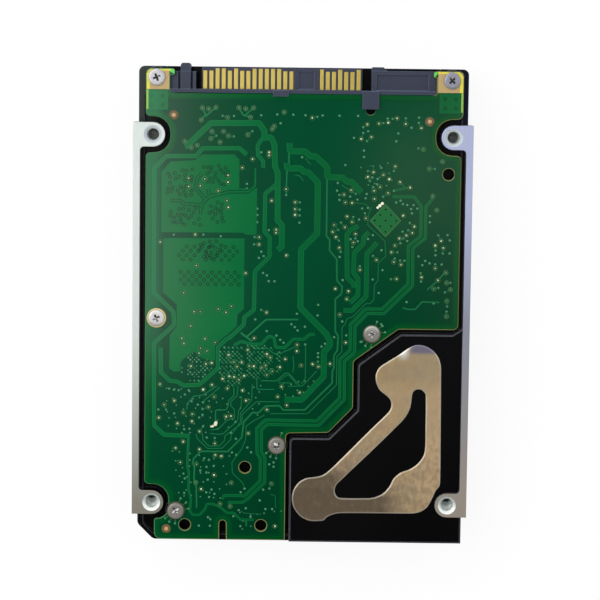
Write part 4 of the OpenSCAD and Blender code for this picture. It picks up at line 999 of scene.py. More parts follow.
pads("boardFields", pourOutlines, copperMask)
tracks("fieldGaps", [(gapSizes["gap"], route) for route in gapRoutes], "gap", darkMask)
tracks("fieldLinks", [(gapSizes["link"], route) for route in gapRoutes], "link", copperMask)


def dotTree():
    # a dot of solder or lacquer on every point
    tree = Recipe("holeDot", Radius=0.2 * mm, Height=0.03 * mm, Sides=10)
    scale = tree.triple(tree.named("scale"), tree.named("scale"), 1.0)
    return tree.close(tree.onPoints(tree.ask("Geometry"), tree.dot(tree.ask("Sides")), Scale=scale))


def ringTree():
    # a ring of copper or of cleared lacquer round every point
    tree = Recipe("holeRing", Radius=0.4 * mm, Width=0.1 * mm, Height=0.02 * mm, Sides=14)
    line = tree.node("GeometryNodeCurvePrimitiveCircle", {"mode": "RADIUS"},
                     {"Resolution": tree.ask("Sides"), "Radius": tree.ask("Radius")})
    form = tree.node("GeometryNodeCurvePrimitiveQuadrilateral", {"mode": "RECTANGLE"},
                     {"Width": tree.ask("Width"), "Height": tree.ask("Height")})
    body = tree.node("GeometryNodeCurveToMesh", None, {0: line, 1: form})
    return tree.close(tree.onPoints(tree.ask("Geometry"), body))


def scatterTree():
    # dots spread over faces, none nearer another than the spacing
    tree = Recipe("holeScatter", Spacing=0.6 * mm, Density=4e6, Seed=3, Radius=0.15 * mm, Height=0.02 * mm)
    spots = tree.node("GeometryNodeDistributePointsOnFaces", {"distribute_method": "POISSON"},
                      {0: tree.ask("Geometry"), "Distance Min": tree.ask("Spacing"),
                       "Density Max": tree.ask("Density"), "Seed": tree.ask("Seed")})
    return tree.close(tree.onPoints(spots, tree.dot(scatterSides)))


dotRecipe = dotTree()
ringRecipe = ringTree()
scatterRecipe = scatterTree()


def dots(name, places, radius, head, material, foot=boardTop, sides=10, scales=None):
    source = carrier(name, [(x * mm, y * mm, foot) for x, y in places], scale=scales or [1.0] * len(places))
    mesh = grown(source, dotRecipe, Radius=radius * mm, Height=heads[head] - foot, Sides=sides,
                 Finish=material)
    return put(name, mesh, material, "board_green")


def rings(name, places, size, head, material, slot="board_green", sides=14):
    # size: radius and width in mm
    source = carrier(name, [(x * mm, y * mm, boardTop) for x, y in places])
    mesh = grown(source, ringRecipe, Radius=size[0] * mm, Width=size[1] * mm,
                 Height=2 * (heads[head] - boardTop), Sides=sides, Finish=material)
    return put(name, mesh, material, slot)


def scattered(name, outlines, spacing, seed, radius, head, material):
    shell = bmesh.new()
    for points in outlines:
        shell.faces.new([shell.verts.new((p.x, p.y, boardTop)) for p in outlineOf(points)])
    mesh = bpy.data.meshes.new(name)
    shell.to_mesh(mesh)
    shell.free()
    return grown(objectOf(name, mesh), scatterRecipe, Spacing=spacing * mm, Seed=seed, Radius=radius * mm,
                 Height=heads[head] - boardTop, Finish=material)


def stepped(places, least, span, stride, cycle):
    # sizes that go up and down in a fixed order
    return [least + span * ((stride * index) % cycle) / (cycle - 1) for index in range(len(places))]


# through holes: open ones with solder in them, ones with a lacquered ring, and ones covered over
openHoles = [
    # by the front edge
    (1.8, 38.8), (13.1, 37.6), (15.5, 37.8), (17.4, 38), (19.2, 38.9), (21, 37.8), (11.9, 34.6), (14, 35),
    # upper left
    (-10.4, 30.2), (-7, 31.6), (-7, 31), (-12.5, 28.4), (-23.5, 26.1), (-20.2, 26), (-15.4, 26.8),
    (-23.5, 24.4), (-21.1, 24.6), (-17.4, 23.6), (-15.4, 25.4), (-15.6, 21.6), (-15.3, 20.2),
    (-6.4, 21.7), (-3.4, 24.1), (-1.5, 21.4), (-1.5, 20), (-1.5, 18.8), (-22.1, 14.5), (-8.9, 14.1),
    (-5.4, 15.7), (-5.4, 15.1), (-29.3, 12.9), (-8.9, 12.6), (-3.2, 10.4), (-21.8, 8.1), (-11.6, 6.6),
    (-24.4, 2.4),
    # round the motor driver
    (13.4, 26.8), (14.5, 27.8), (16.6, 27.3), (17.8, 26.4), (19, 29), (8.5, 23.1), (10, 24), (14.7, 24),
    (14.8, 22.3), (15.9, 24.8), (17.6, 23.5), (20, 25.8), (22.1, 24.7), (8.8, 21.5), (9.2, 18.6),
    (10.2, 21.4), (13.1, 18.3), (20.8, 18.9), (6.3, 15.4), (6.6, 16.8), (7, 14.3), (8.8, 16.4),
    (10.3, 17.5), (24.2, 37), (11, 15), (20.1, 14.2), (21.5, 14.8), (22.7, 15.4), (23.1, 16.7),
    (7.7, 12.1), (10.6, 13.2), (18.5, 11.3), (19.2, 12.7), (27.5, 12.8), (28.7, 13.8), (29.2, 12.3),
    (12, 7.6), (15.4, 9.7), (19, 9.3), (20.5, 8.8), (24.8, 6.2), (27.6, 8.1), (7, 3.6), (9.7, 3.1),
    (19.6, 5.8), (28.2, 5.6), (8, -1.8), (9.4, 1.5),
    # lower left
    (-22.2, -1.5), (-20.9, -1.5), (-17.2, -0.9), (-15.6, -1.6), (-14.5, -0.3), (-7.2, -1.5),
    (-22.9, -4.5), (-24.7, -7.1), (-24.3, -8.2), (-20.8, -9.1), (-19.9, -7.1), (-19.5, -9.7),
    (-17.8, -7.9), (-22.8, -12.9), (-21.1, -10.2), (-19.7, -12.4), (-18.5, -12.2), (-29.2, -16.8),
    (-20.2, -17.8), (-18.4, -16.8), (-28.3, -21.1), (-26.2, -20.2), (-19.1, -21.5), (-17.9, -19.3),
    (-29.4, -23.8), (-25.5, -25), (-24.3, -22.7), (-22.5, -24.5), (-22.4, -23), (-24.3, -28.8),
    (-20.9, -26.6), (-17.7, -29.1), (-25.9, -30.2), (-20.9, -30.4), (-21.5, -33.5), (-17.6, -31.6),
    (-17.8, -35.8), (-24.9, -33.2), (-16.3, -31.8), (-20.5, -38.8), (-5, -46.5),
    # under the controller
    (-11, -9.4), (-9.7, -6.9), (-0.8, -8.2), (-0.8, -9.5), (9.3, -7.6), (-15, -10.5), (-13.9, -11.9),
    (-13.2, -12.9), (-12.2, -12), (-10.7, -12.7), (-9.7, -12.8), (-8.1, -13.1), (-7.3, -12.6),
    (-7, -10.2), (-6.3, -10.9), (-5.9, -13.7), (-4.3, -12.9), (-3.2, -11.2), (0.1, -12.5), (2.5, -12.2),
    (3.7, -12.7), (6.1, -12.1), (-16.2, -15.5), (-15.2, -17.5), (-14.8, -15), (-13.8, -15.1),
    (-12.8, -15.7), (-12, -17.9), (-11.7, -14.8), (-7, -14.6), (-3.9, -17), (-11.3, -20), (-6.9, -21.9),
    (-4.7, -19.1), (-2.8, -20.9), (-0.1, -18.2), (-15.4, -23.4), (-14.4, -23.3), (-10.7, -26.9),
]
ringHoles = [(-20.8, 40.6), (-19.5, 40.4), (-18, 40.7), (-21, 38.1), (-13.3, 40.7), (-11.9, 40.5),
             (-10.3, 40.7), (-10.9, 38.8), (-18.8, 35.8), (-19, 34.3), (-17.1, 33.6), (-16.4, 35.8),
             (-15.4, 34.9), (-11.4, 35.2), (-24.4, 33.7), (-23, 32.4), (-21.8, 32.9), (-15.6, 38.7),
             (-4, 39.9), (-6, 37), (-6.4, 36.4), (24.7, 32.6), (26, 28.6), (28.7, 30.1), (26.8, 23),
             (27.7, 20.1), (29.8, 7.2), (30, 5.1), (30.8, 3.7), (30.1, 1.3), (30.1, -1.9), (27.4, 3.8),
             (-16.5, -41.9), (-14.4, -42.4), (-5.8, -37.5), (-21.6, -37.4), (-14.2, -37.4)]
coveredHoles = [
    # sparse ones outside the fields
    (-10.5, 35.9), (-4.7, 37.6), (10.4, 34.8), (12.3, 37), (12.3, 35.8), (13.1, 34.2), (19.1, 34.2),
    (19.5, 35.8), (-8.6, 31.6), (-0.2, 30.7), (12.5, 32.2), (12.5, 30.9), (8.7, 29.2), (16.1, 28.7),
    (18.7, 28.1), (-11.5, 25.1), (-11.5, 24.1), (-3.4, 22.9), (7.1, 23.9), (7.2, 25.5), (7.6, 23),
    (9.8, 22.7), (11.3, 22.1), (16.6, 22.8), (18.8, 24), (-9.3, 20), (-9.3, 18.7), (-9.3, 17.2),
    (7.6, 22), (10.5, 18.5), (12.3, 20.3), (21.6, 21.1), (22.4, 20.3), (22.9, 21.1), (26.3, 18.9),
    (26.3, 17.6), (30, 15), (-26.5, 14.4), (-20.4, 14.5), (-16.8, 14.2), (-9.8, 14.1), (-6.9, 15.6),
    (-0.6, 17.2), (7.4, 15.8), (8, 17.3), (11.7, 18), (14.6, 14.8), (20.7, 15.6), (-9.9, 12.6),
    (-8.4, 11.1), (-7.9, 10.2), (-8.9, 9.8), (7.6, 13.6), (7.8, 10.2), (8, 11.3), (10.4, 12.3),
    (11.5, 13.5), (13.6, 14), (16.4, 11.7), (19.7, 11.3), (20.3, 13.2), (21.7, 13.7), (24.1, 10.5),
    (27.6, 10.8), (29.1, 11.2), (30.5, 11.2), (30.5, 13.9), (-8, 6.7), (-7.2, 6.2), (-6.8, 5), (-5.6, 5),
    (16.7, 7.6), (24.6, 7), (24.9, 8.7), (25.5, 9.6), (26.4, 9.1), (28.9, 8.9), (8.5, 5.4), (14.7, 5.6),
    (16, 2.8), (24.7, 5.3), (28.3, 4), (29.7, 3.1), (30.8, 5.1), (21.8, 1), (27.4, 0.8), (30.1, -0.9),
    (30.2, 0.2), (-8.3, -1), (-0.9, -1.7), (3.4, -2), (3.5, 0.2), (-9.5, -3), (-7.1, -5.4), (-2, -3.9),
    (-1.3, -4.5), (-0.7, -5.2), (0.8, -4.4), (8.5, -3.2), (16.6, -3.7), (-5.1, -6.3), (-4.3, -7.2),
    (-3.6, -7.8), (0.9, -8.1), (3.6, -9.9), (4.3, -8.5), (5, -7.9), (6.9, -6.5), (9.4, -6.1),
    (12.4, -7.4), (13.4, -8.3), (3.6, -10.7), (3.6, -11.7), (-27.3, -17.7), (-26.3, -17.9), (-25.3, -18),
    (-24, -18.9), (-23.2, -18), (-22.6, -20.3), (-21.3, -21), (-20.3, -21.9), (-20.2, -20.5),
    (-29.5, -22.1), (-27.9, -22.1), (-26.2, -22.9), (-21, -23.7), (-20.3, -23.1), (-20.2, -25.6),
    (-13.4, -24.5), (-24.1, -26.2), (-23, -26.1), (-19.4, -27.9), (-17.7, -28), (-14.4, -26.8),
    (-13.3, -28.1),
    # beside open holes on the right
    (0.4, 39.3), (2.8, 39), (3.9, 39.3), (7.4, 39.3), (11.2, 39.3), (13.3, 36.2), (16.4, 37.9),
    (17.3, 38.8), (18.3, 38.8), (21, 38.9), (22.2, 37), (23.7, 39.1), (23.7, 38), (23.7, 32.8),
    (27.1, 28.6), (13.4, 28), (14.3, 26.7), (15.4, 26.4), (13.8, 26), (15.3, 25.3), (14.5, 24.7),
    (10.9, 23.3), (13.2, 23.3), (13, 22.4), (20.2, 22), (19.3, 21.6), (20.7, 21.3), (23.7, 20.4),
    (22.6, 19.4), (13.5, 20.4), (12.9, 19.3), (22.2, 17.4), (21.9, 15.9), (20.9, 14.2), (28.1, 14.9),
    (27.6, 11.8), (11, 14.1), (10, 13.9), (14.7, 10.5), (19.2, 10), (20.3, 9.6), (21.2, 9.6), (27.6, 8.9),
    (12, 8.3), (18.5, 5.7), (-0.6, 21.4), (-0.6, 19.9), (-0.6, 18.7),
    # the rear left corner
    (-6.2, -38.5), (-7.5, -38.8), (-8.2, -41.1), (-11.1, -42.8), (-12.6, -43.2), (-13.7, -44.5),
    (-10.1, -44.6), (-12.2, -46.6), (-20.9, -46.6), (-18.6, -46.6), (-23.9, -36.6), (-18.3, -38.9),
    (-17.7, -39.8), (-18.8, -40.5), (-19.4, -39.5), (-19.4, -34.1), (-20.7, -34.9), (-19.4, -35.3),
    (-19.1, -36.8), (-17.9, -33.9), (-19.9, -32.3), (-18.9, -32.6), (-19, -44.8), (-18.5, -45.2),
    (-5.6, -42.9), (-7, -42.9), (-5.4, -33), (-5.4, -33.9), (-6.3, -33.4), (-10.1, -30.9), (-14.1, -31),
    (-13.2, -31.5), (-10.9, -29.9), (-12.2, -39.4), (-11.4, -38.6), (-24, -39.7), (-24.2, -35.6),
    # by the ringed holes at the front
    (-17.9, 34.9), (-14.3, 34.8), (-23.9, 32.4), (-16.6, 39), (-14.3, 39), (-8.7, 39.2), (-5.4, 39.4),
    (-2.1, 39.4),
]
# radii in mm, of rings also the width
holeSizes = {"open": 0.22, "openGap": (0.33, 0.2), "openRing": (0.47, 0.09), "ring": (0.45, 0.13),
             "core": 0.22, "covered": 0.24, "small": 0.19, "spare": 0.15, "cleared": (0.31, 0.18),
             "seed": 0.1}
dots("openHoles", openHoles, holeSizes["open"], "solder", holeSolder,
     scales=stepped(openHoles, least=0.8, span=0.4, stride=7, cycle=11))
rings("openHoleGaps", openHoles, holeSizes["openGap"], "gap", darkMask)
rings("openHoleRings", openHoles, holeSizes["openRing"], "ring", ringLacquer)
rings("ringHoles", ringHoles, holeSizes["ring"], "ring", ringLacquer)
dots("ringHoleCores", ringHoles, holeSizes["core"], "copper", paleLacquer)
dots("coveredHoles", coveredHoles, holeSizes["covered"], "cover", paleLacquer)

# short tracks: from a hole to the covered one beside it, or a stub where none is near
linkSizes = {"width": 0.17, "reach": 1.3, "stub": 0.72, "fieldX": -11.9, "fieldY": -1, "bare": 3}
holeLinks = []
for index, hole in enumerate(openHoles + ringHoles):
    near = min(coveredHoles, key=lambda other: math.dist(hole, other))
    inField = hole[0] < linkSizes["fieldX"] and hole[1] > linkSizes["fieldY"]
    turn = math.radians(45 * (3 * index % 8))  # stubs go eight ways
    stub = (hole[0] + linkSizes["stub"] * math.cos(turn), hole[1] + linkSizes["stub"] * math.sin(turn))
    if math.dist(hole, near) < linkSizes["reach"]:
        holeLinks.append((linkSizes["width"], [hole, near]))
    elif index % linkSizes["bare"] and index < len(openHoles) and not inField:
        holeLinks.append((linkSizes["width"], [hole, stub]))
tracks("holeLinks", holeLinks, "link", edgeSheenAndFineLacquer)

# the close lattices by the controller: small covered holes, in the first each with a slanting track
latticeFields = [
    [(-17.1, -9), (-8.6, -8), (-4.4, -9.6), (-4.2, -13.6), (-9, -15.2), (-15.3, -17.4), (-17.2, -14.2)],
    [(-24.9, -11.9), (-22.3, -10), (-21, -11.1), (-17.8, -11.9), (-17.9, -13.4), (-21, -16.2),
     (-23.9, -16), (-25.1, -14.2)],
]
latticeSizes = {"pitch": 0.88, "left": -26, "top": -7.6, "rows": 30, "track": 0.15, "slant": 0.4}


def latticeIn(outline):
    # points of a slanting lattice that fall inside an outline, about two in seven left out
    inside = []
    sides = list(zip(outline, outline[1:] + outline[:1]))
    pitch = latticeSizes["pitch"]
    for row in range(latticeSizes["rows"]):
        for column in range(latticeSizes["rows"]):
            x = latticeSizes["left"] + pitch * (column + 0.5 * (row % 2))
            y = latticeSizes["top"] - pitch * 0.5 * row
            crossings = sum((a[1] > y) != (b[1] > y) and
                            x < a[0] + (y - a[1]) * (b[0] - a[0]) / (b[1] - a[1]) for a, b in sides)
            if crossings % 2 and (3 * column + 5 * row + column * row) % 7 < 5:
                inside.append((x, y))
    return inside


closeHoles, sideHoles = [latticeIn(field) for field in latticeFields]
latticeHoles = closeHoles + sideHoles
dots("smallHoles", latticeHoles, holeSizes["small"], "cover", paleLacquer, sides=8,
     scales=stepped(latticeHoles, least=0.6, span=0.5, stride=5, cycle=13))
slant = latticeSizes["slant"]
tracks("latticeTails", [(latticeSizes["track"], [(x, y), (x + slant, y - slant)]) for x, y in closeHoles],
       "slantTrack", edgeSheenAndFineLacquer)

# loose groups of covered holes
looseFields = [
    [(-4, -15.6), (3, -15.6), (0, -19), (-4, -19)],
    [(-28, -17), (-14, -20), (-14, -27), (-28, -27)],
    [(11.5, 29), (20, 30), (19, 25), (13.5, 23.6)],
    [(-21, -31.5), (-14.5, -31.5), (-15.5, -41), (-20.8, -41)],
    [(-12.6, -17.4), (-8.2, -16.6), (-8.2, -23.4), (-12.6, -21.6)],
    [(-26.8, -30.4), (-22.8, -30.4), (-22.4, -42), (-25.2, -39.6)],
    [(-12.4, -43.2), (-3.6, -42.8), (-3.6, -44.2), (-12.4, -44.4)],
    [(-12.4, -45), (-9.8, -45), (-9.8, -47.4), (-12.4, -47.4)],
]
looseSizes = {"spacing": 1.28, "seed": 11}
put("spareHoles", scattered("spareHoles", looseFields, looseSizes["spacing"], looseSizes["seed"],
                            holeSizes["spare"], "cover", paleLacquer), paleLacquer, "board_green")

# holes cleared from the copper fields, some in rows and some loose
clearedSizes = {"rows": 4, "columns": 8, "pitch": 1.6, "bare": 5, "spacing": 0.74, "seed": 4}


def clearedRows(left, top, step):
    pitch = clearedSizes["pitch"]
    return [(column, row, (left + pitch * column + pitch / 2 * (row % 2), top - step * row))
            for row in range(clearedSizes["rows"]) for column in range(clearedSizes["columns"])]


clearedHoles = [place for column, row, place in clearedRows(left=-25, top=6.7, step=0.82)]
clearedHoles += [place for column, row, place in clearedRows(left=-25.4, top=12, step=0.9)
                 if (column + row) % clearedSizes["bare"]]
rings("clearedHoles", clearedHoles, holeSizes["cleared"], "ring", clearMask, sides=10)
clearedField = [
    [(-28, 27), (-22.5, 28.6), (-22.8, 22), (-28, 22.4)],
    [(-27.8, 20), (-22, 20), (-21, 16.4), (-27.6, 16.6)],
    [(-20.6, 29), (-15.4, 28.6), (-15.2, 24.6), (-19.6, 25.4)],
    [(-19.6, 20.6), (-16.4, 21.6), (-16.2, 17), (-19, 17)],
    [(-21.5, 13.2), (-16.5, 13.2), (-17, 9.6), (-21, 9.6)],
]
looseShell = bmesh.new()
looseShell.from_mesh(scattered("clearedSeed", clearedField, clearedSizes["spacing"], clearedSizes["seed"],
                               holeSizes["seed"], "copper", darkMask))
# the dots' places are read back from their upper faces
looseTops = [f.calc_center_median() for f in looseShell.faces
             if len(f.verts) == scatterSides and f.normal.z > upright]
looseShell.free()
loosePlaces = [(top.x / mm, top.y / mm) for top in looseTops]
rings("clearedLoose", loosePlaces, holeSizes["cleared"], "ring", clearMask, sides=10)
print("holes placed")

# bare copper marks by three corners, each in a clearing
markPlaces = [(-26.65, 39.07), (25.92, 38.3), (-27.75, -47.3)]
markSizes = {"clearing": 0.95, "mark": 0.42}
dots("markClearings", markPlaces, markSizes["clearing"], "clearing", clearing, sides=24)
dots("cornerMarks", markPlaces, markSizes["mark"], "mark", bareCopper, heads["clearing"], sides=20)

# gold earths under the front screws, plated round the tabs' edges
earthPads = [
    [(-32.1, 48.2), (-27.6, 48.2), (-27.6, 44.3), (-32.1, 44.3)],
    [(32.5, 48.2), (27.5, 48.2), (27.5, 44.2), (32.5, 44.2)],
]
platedEdges = [
    [(-32.24, 44.3), (-32.24, 47.5), (-31.5, 48.4), (-27.2, 48.44), (-27.2, 48.1), (-31.1, 48),
     (-31.55, 47.4), (-31.6, 44.3)],
    [(32.64, 44.2), (32.64, 47.6), (31.9, 48.42), (27.4, 48.44), (27.4, 48.1), (31.4, 48), (31.95, 47.5),
     (32, 44.2)],
]
lowerPads = [
    [(-32.1, 44.1), (-27.8, 44.1), (-27.8, 40.1), (-32.1, 40.1)],
    [(32.5, 44), (27.9, 44), (27.9, 40), (32.5, 40)],
]
tabSides = [
    [(-32.28, 44.2), (-31.85, 44.2), (-31.85, 40.2), (-32.28, 40.2)],
    [(32.68, 44.1), (32.3, 44.1), (32.3, 40.2), (32.68, 40.2)],
]
tabCorners = [
    [(-27.5, 48.46), (-26.75, 48.46), (-26.54, 48.25), (-26.54, 47.4), (-27, 47.7), (-27.5, 47.9)],
    [(27.3, 48.46), (26.9, 48.46), (26.68, 48.25), (26.68, 47.4), (27, 47.6), (27.3, 47.9)],
]
pads("earthPads", earthPads, tanGold, slot="contact_gold")
pads("platedEdges", platedEdges, brightGold, "platedEdge", "contact_gold", "platedRim", "platedDrop")
pads("lowerPads", lowerPads, copperMask)
pads("tabSides", tabSides, glowEdge, "tabSide")
pads("tabCorners", tabCorners, tabGreen)
padHoleSizes = {"x": 30.1, "y": 42, "across": 1.1, "along": 0.95, "ring": (0.26, 0.2)}
padHoles = [(side * padHoleSizes["x"] + dx * padHoleSizes["across"],
             padHoleSizes["y"] + dy * padHoleSizes["along"])
            for side in (-1, 1) for dx in (-1, 1) for dy in (-1, 1)]
rings("padHoles", padHoles, padHoleSizes["ring"], "ring", darkMask, sides=12)

# heat pad of the motor driver, standing on its corner, and the solder beads, coloured near white as a
# painted glint
heatSizes = {"centre": (17.15, 17.85), "across": 1.1, "along": 1.15, "hole": 0.3, "rim": 0.14, "bead": 0.34}
heatPad = [(14, 17.8), (17.1, 21.2), (20.3, 17.9), (17.2, 14.5)]
pads("heatPad", [heatPad], heatMask)
heatRim = [(heatSizes["rim"], side) for side in zip(heatPad, heatPad[1:] + heatPad[:1])]
tracks("heatPadRim", heatRim, "ring", ringLacquer)
heatX, heatY = heatSizes["centre"]
heatHoles = [(heatX + heatSizes["across"] * (a - b), heatY + heatSizes["along"] * (a + b))
             for a in (-1, 0, 1) for b in (-1, 0, 1)]
dots("heatHoles", heatHoles, heatSizes["hole"], "heatHole", heatShade)
beadPlaces = [(15.5, 20.5), (15.95, 20.9), (16.45, 21.35), (-17.5, -24.75), (-17.62, -25.1),
              (-18.15, -25.5), (-18.5, -25.6)]
beadSteps = [0.75, 1.0, 0.95, 1.0, 1.05, 0.8, 0.55]
dots("solderBeads", beadPlaces, heatSizes["bead"], "bead", beadSolder, sides=12, scales=beadSteps)
print("pads placed")

# the metal tape on the plateau, its edge laid down all round
foilSizes = {"rim": 0.28 * mm, "drop": 0.06 * mm, "steps": 5}
foilOuter = [(23.81, -7.93), (24.97, -7.92), (26.13, -8.25), (27.16, -8.84), (27.95, -9.58),
             (28.54, -10.45), (28.93, -11.39), (29.14, -12.47), (29.19, -14.23), (29.33, -25.5),
             (29.42, -36.4), (29.3, -37.5), (28.55, -38.52), (27.92, -39.97), (27.04, -41.69),
             (26.34, -42.45), (25.44, -43.01), (24.41, -43.32), (23.3, -43.42), (17.8, -43.45),
             (8.8, -43.52), (7.3, -43.78), (5.88, -44.41), (5.24, -45.07), (3.94, -45.26), (2.13, -45.19),
             (0.31, -44.28), (-1.07, -42.51), (-1.51, -40.6), (-1.16, -38.68), (-0.14, -37.16),
             (1.4, -36.21), (3.34, -35.91), (4.89, -35.48), (6.69, -34.07), (8.48, -32.27),
             (15.01, -25.52), (17.56, -22.98), (18.64, -21.74), (18.98, -20.58), (18.68, -19.37),
             (17.9, -18.56), (16.46, -17.36), (15.67, -15.47), (15.72, -13.98), (16.41, -12.68),
             (17.94, -11.58), (20.62, -9.86), (22.53, -8.49)]
foilInner = [(24.58, -17.19), (25.22, -17.32), (25.98, -18.13), (26.12, -19.14), (26.17, -25.5),
             (26.18, -29.33), (25.86, -31.11), (24.78, -32.76), (23.12, -34.01), (21.19, -34.78),
             (19.79, -35.96), (18.96, -37.54), (17.75, -39.06), (16.4, -39.85), (15.1, -40.22),
             (13.74, -40.3), (9.34, -40.33), (8.04, -40.1), (7.45, -38.98), (7.69, -37.68),
             (8.53, -36.71), (16.2, -29.11), (20.42, -24.78), (21.69, -23.4), (22.45, -22.17),
             (22.95, -20.81), (23.18, -18.91), (23.43, -17.82), (23.93, -17.34)]


def eased(points):
    # a closed outline drawn smoothly through its points
    line = [Vector((x * mm, y * mm)) for x, y in points]
    count = len(line)
    drawn = []
    for i in range(count):
        a, b, c, d = line[i - 1], line[i], line[(i + 1) % count], line[(i + 2) % count]
        reach = (c - b).length
        tangentB = (c - a).normalized() * reach
        tangentC = (d - b).normalized() * reach
        for step in range(foilSizes["steps"]):
            s = step / foilSizes["steps"]
            drawn.append(b * (1 + 2 * s) * (1 - s) ** 2 + tangentB * s * (1 - s) ** 2 +
                         c * s * s * (3 - 2 * s) - tangentC * s * s * (1 - s))
    return leftTurning(drawn)


foilFoot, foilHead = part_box("foil_seal")
foilMesh = plate("foilTape", [eased(foilOuter), eased(foilInner)[::-1]], foilFoot.z, foilHead.z,
                 foilSizes["rim"], foilSizes["drop"])
put("foilTape", foilMesh, finishes["foil_metal"], "foil_metal", "foil_seal")
print("foil laid")

# contacts with their edges rounded
contactSizes = {"round": 0.13 * mm, "segments": 2, "flat": 0.05, "sharp": 0.6}
contactShell = mergedCopy("connector_contacts")
bmesh.ops.dissolve_limit(contactShell, angle_limit=contactSizes["flat"], verts=contactShell.verts,
                         edges=contactShell.edges)
contactEdges = [e for e in contactShell.edges if e.calc_face_angle(0) > contactSizes["sharp"]]
bmesh.ops.bevel(contactShell, geom=contactEdges, offset=contactSizes["round"],
                segments=contactSizes["segments"], profile=0.5, affect="EDGES", clamp_overlap=True)
put("contactBars", meshOf("contactBars", contactShell), finishes["contact_gold"], "contact_gold",
    "connector_contacts")

# screws: a flat head with a rounded rim and a cross recess, one form for both sizes
screwForm = {"rim": [(1.0, 0.0), (1.0, 0.45), (0.965, 0.72), (0.9, 0.9), (0.8, 0.985), (0.7, 1.0)],
             "sides": 40, "armLength": 0.46, "armWidth": 0.13, "depth": 0.7, "taper": 0.8,
             "fillLength": 0.97, "fillWidth": 0.92, "fillFoot": 0.35, "fillHead": 0.88, "fillRim": 0.03,
             "fillDrop": 0.1}


def crossLine(length, width):
    reach = screwForm["armLength"] * length
    half = screwForm["armWidth"] * width
    cross = []
    for step in range(4):
        turn = step * math.pi / 2
        cross += [(x * math.cos(turn) - y * math.sin(turn), x * math.sin(turn) + y * math.cos(turn))
                  for x, y in [(reach, -half), (reach, half), (half, half)]]
    return cross


def headMesh(name):
    # unit head: radius 1, height 1, foot at 0
    shell = bmesh.new()
    turns = [math.tau * i / screwForm["sides"] for i in range(screwForm["sides"])]
    rows = [[shell.verts.new((r * math.cos(t), r * math.sin(t), z)) for t in turns]
            for r, z in screwForm["rim"]]
    for lower, upper in zip(rows, rows[1:]):
        wall(shell, lower, upper)
    shell.faces.new(rows[0][::-1])
    cross = crossLine(1, 1)
    shrink = screwForm["taper"]
    lip = [shell.verts.new((x, y, 1.0)) for x, y in cross]
    bottom = [shell.verts.new((x * shrink, y * shrink, 1.0 - screwForm["depth"])) for x, y in cross]
    wall(shell, lip, bottom)
    shell.faces.new(bottom)
    edges = ringEdges(shell, rows[-1]) + ringEdges(shell, lip)
    bmesh.ops.triangle_fill(shell, use_beauty=True, edges=edges, normal=(0, 0, 1))
    return meshOf(name, shell)


def fillMesh(name):
    # the dirt and shadow that fill a recess: a cross just under the head's face
    loop = [Vector(p) for p in crossLine(screwForm["fillLength"], screwForm["fillWidth"])]
    return plate(name, [leftTurning(loop)], screwForm["fillFoot"], screwForm["fillHead"],
                 screwForm["fillRim"], screwForm["fillDrop"])


def screwTree():
    # one form on every point, turned and sized
    tree = Recipe("screwHeads", Form=None, Radius=1.75 * mm, Height=0.55 * mm)
    body = tree.node("GeometryNodeObjectInfo", {"transform_space": "ORIGINAL"}, {0: tree.ask("Form")},
                     "Geometry")
    turn = tree.node("FunctionNodeEulerToRotation", None,
                     {0: tree.triple(tree.named("over"), 0.0, tree.named("turn"))})
    size = tree.triple(tree.ask("Radius"), tree.ask("Radius"), tree.ask("Height"))
    return tree.close(tree.onPoints(tree.ask("Geometry"), body, Rotation=turn, Scale=size))


screwRecipe = screwTree()


def screws(name, form, material, spots, sizes, over, *nodes):
    shape = objectOf(name + "Form", form(name))
    turns = [math.radians(turn) for turn in sizes["turns"]]
    source = carrier(name, spots, turn=turns, over=[over] * len(spots))
    mesh = grown(source, screwRecipe, Form=shape, Radius=sizes["radius"], Height=sizes["height"],
                 Finish=material)
    bpy.data.objects.remove(shape)
    return put(name, mesh, material, "screw_steel", *nodes)


def islandBoxes(node):
    # the lowest and highest corners of a node's separate solids, from the rear to the front
    shell = mergedCopy(node)
    left = set(shell.verts)
    boxes = []
    while left:
        front = [left.pop()]
        island = list(front)
        while front:
            near = [e.other_vert(v) for v in front for e in v.link_edges]
            front = [v for v in set(near) if v in left]
            left -= set(front)
            island += front
        low, high = [Vector([pick(v.co[k] for v in island) for k in range(3)]) for pick in (min, max)]
        boxes.append((low, high))
    shell.free()
    return sorted(boxes, key=lambda box: (round(box[0].y, 5), round(box[0].x, 5)))


def middle(low, high):
    return (low.x + high.x) / 2, (low.y + high.y) / 2


boardScrewSizes = {"radius": 1.75 * mm, "height": 0.55 * mm, "turns": [22, 45, 26, 8, 45, 36]}
screwPlaces = sorted([middle(*box) for box in islandBoxes("board_screws")], key=lambda p: (-p[1], p[0]))
boardSpots = [(x, y, boardTop) for x, y in screwPlaces]
steel = finishes["screw_steel"]
screws("boardScrews", headMesh, steel, boardSpots, boardScrewSizes, 0.0, "board_screws")
screws("boardScrewSlots", fillMesh, slotDark, boardSpots, boardScrewSizes, 0.0)
coverScrewSizes = {"radius": 1.8 * mm, "height": 0.6 * mm, "turn": 37}
coverSpots = [(*middle(low, high), low.z + coverScrewSizes["height"])
              for low, high in islandBoxes("cover_screws")]
coverScrewSizes["turns"] = [coverScrewSizes["turn"] * index for index in range(len(coverSpots))]
screws("coverScrews", headMesh, steel, coverSpots, coverScrewSizes, math.pi, "cover_screws")
screws("coverScrewSlots", fillMesh, slotDark, coverSpots, coverScrewSizes, math.pi)

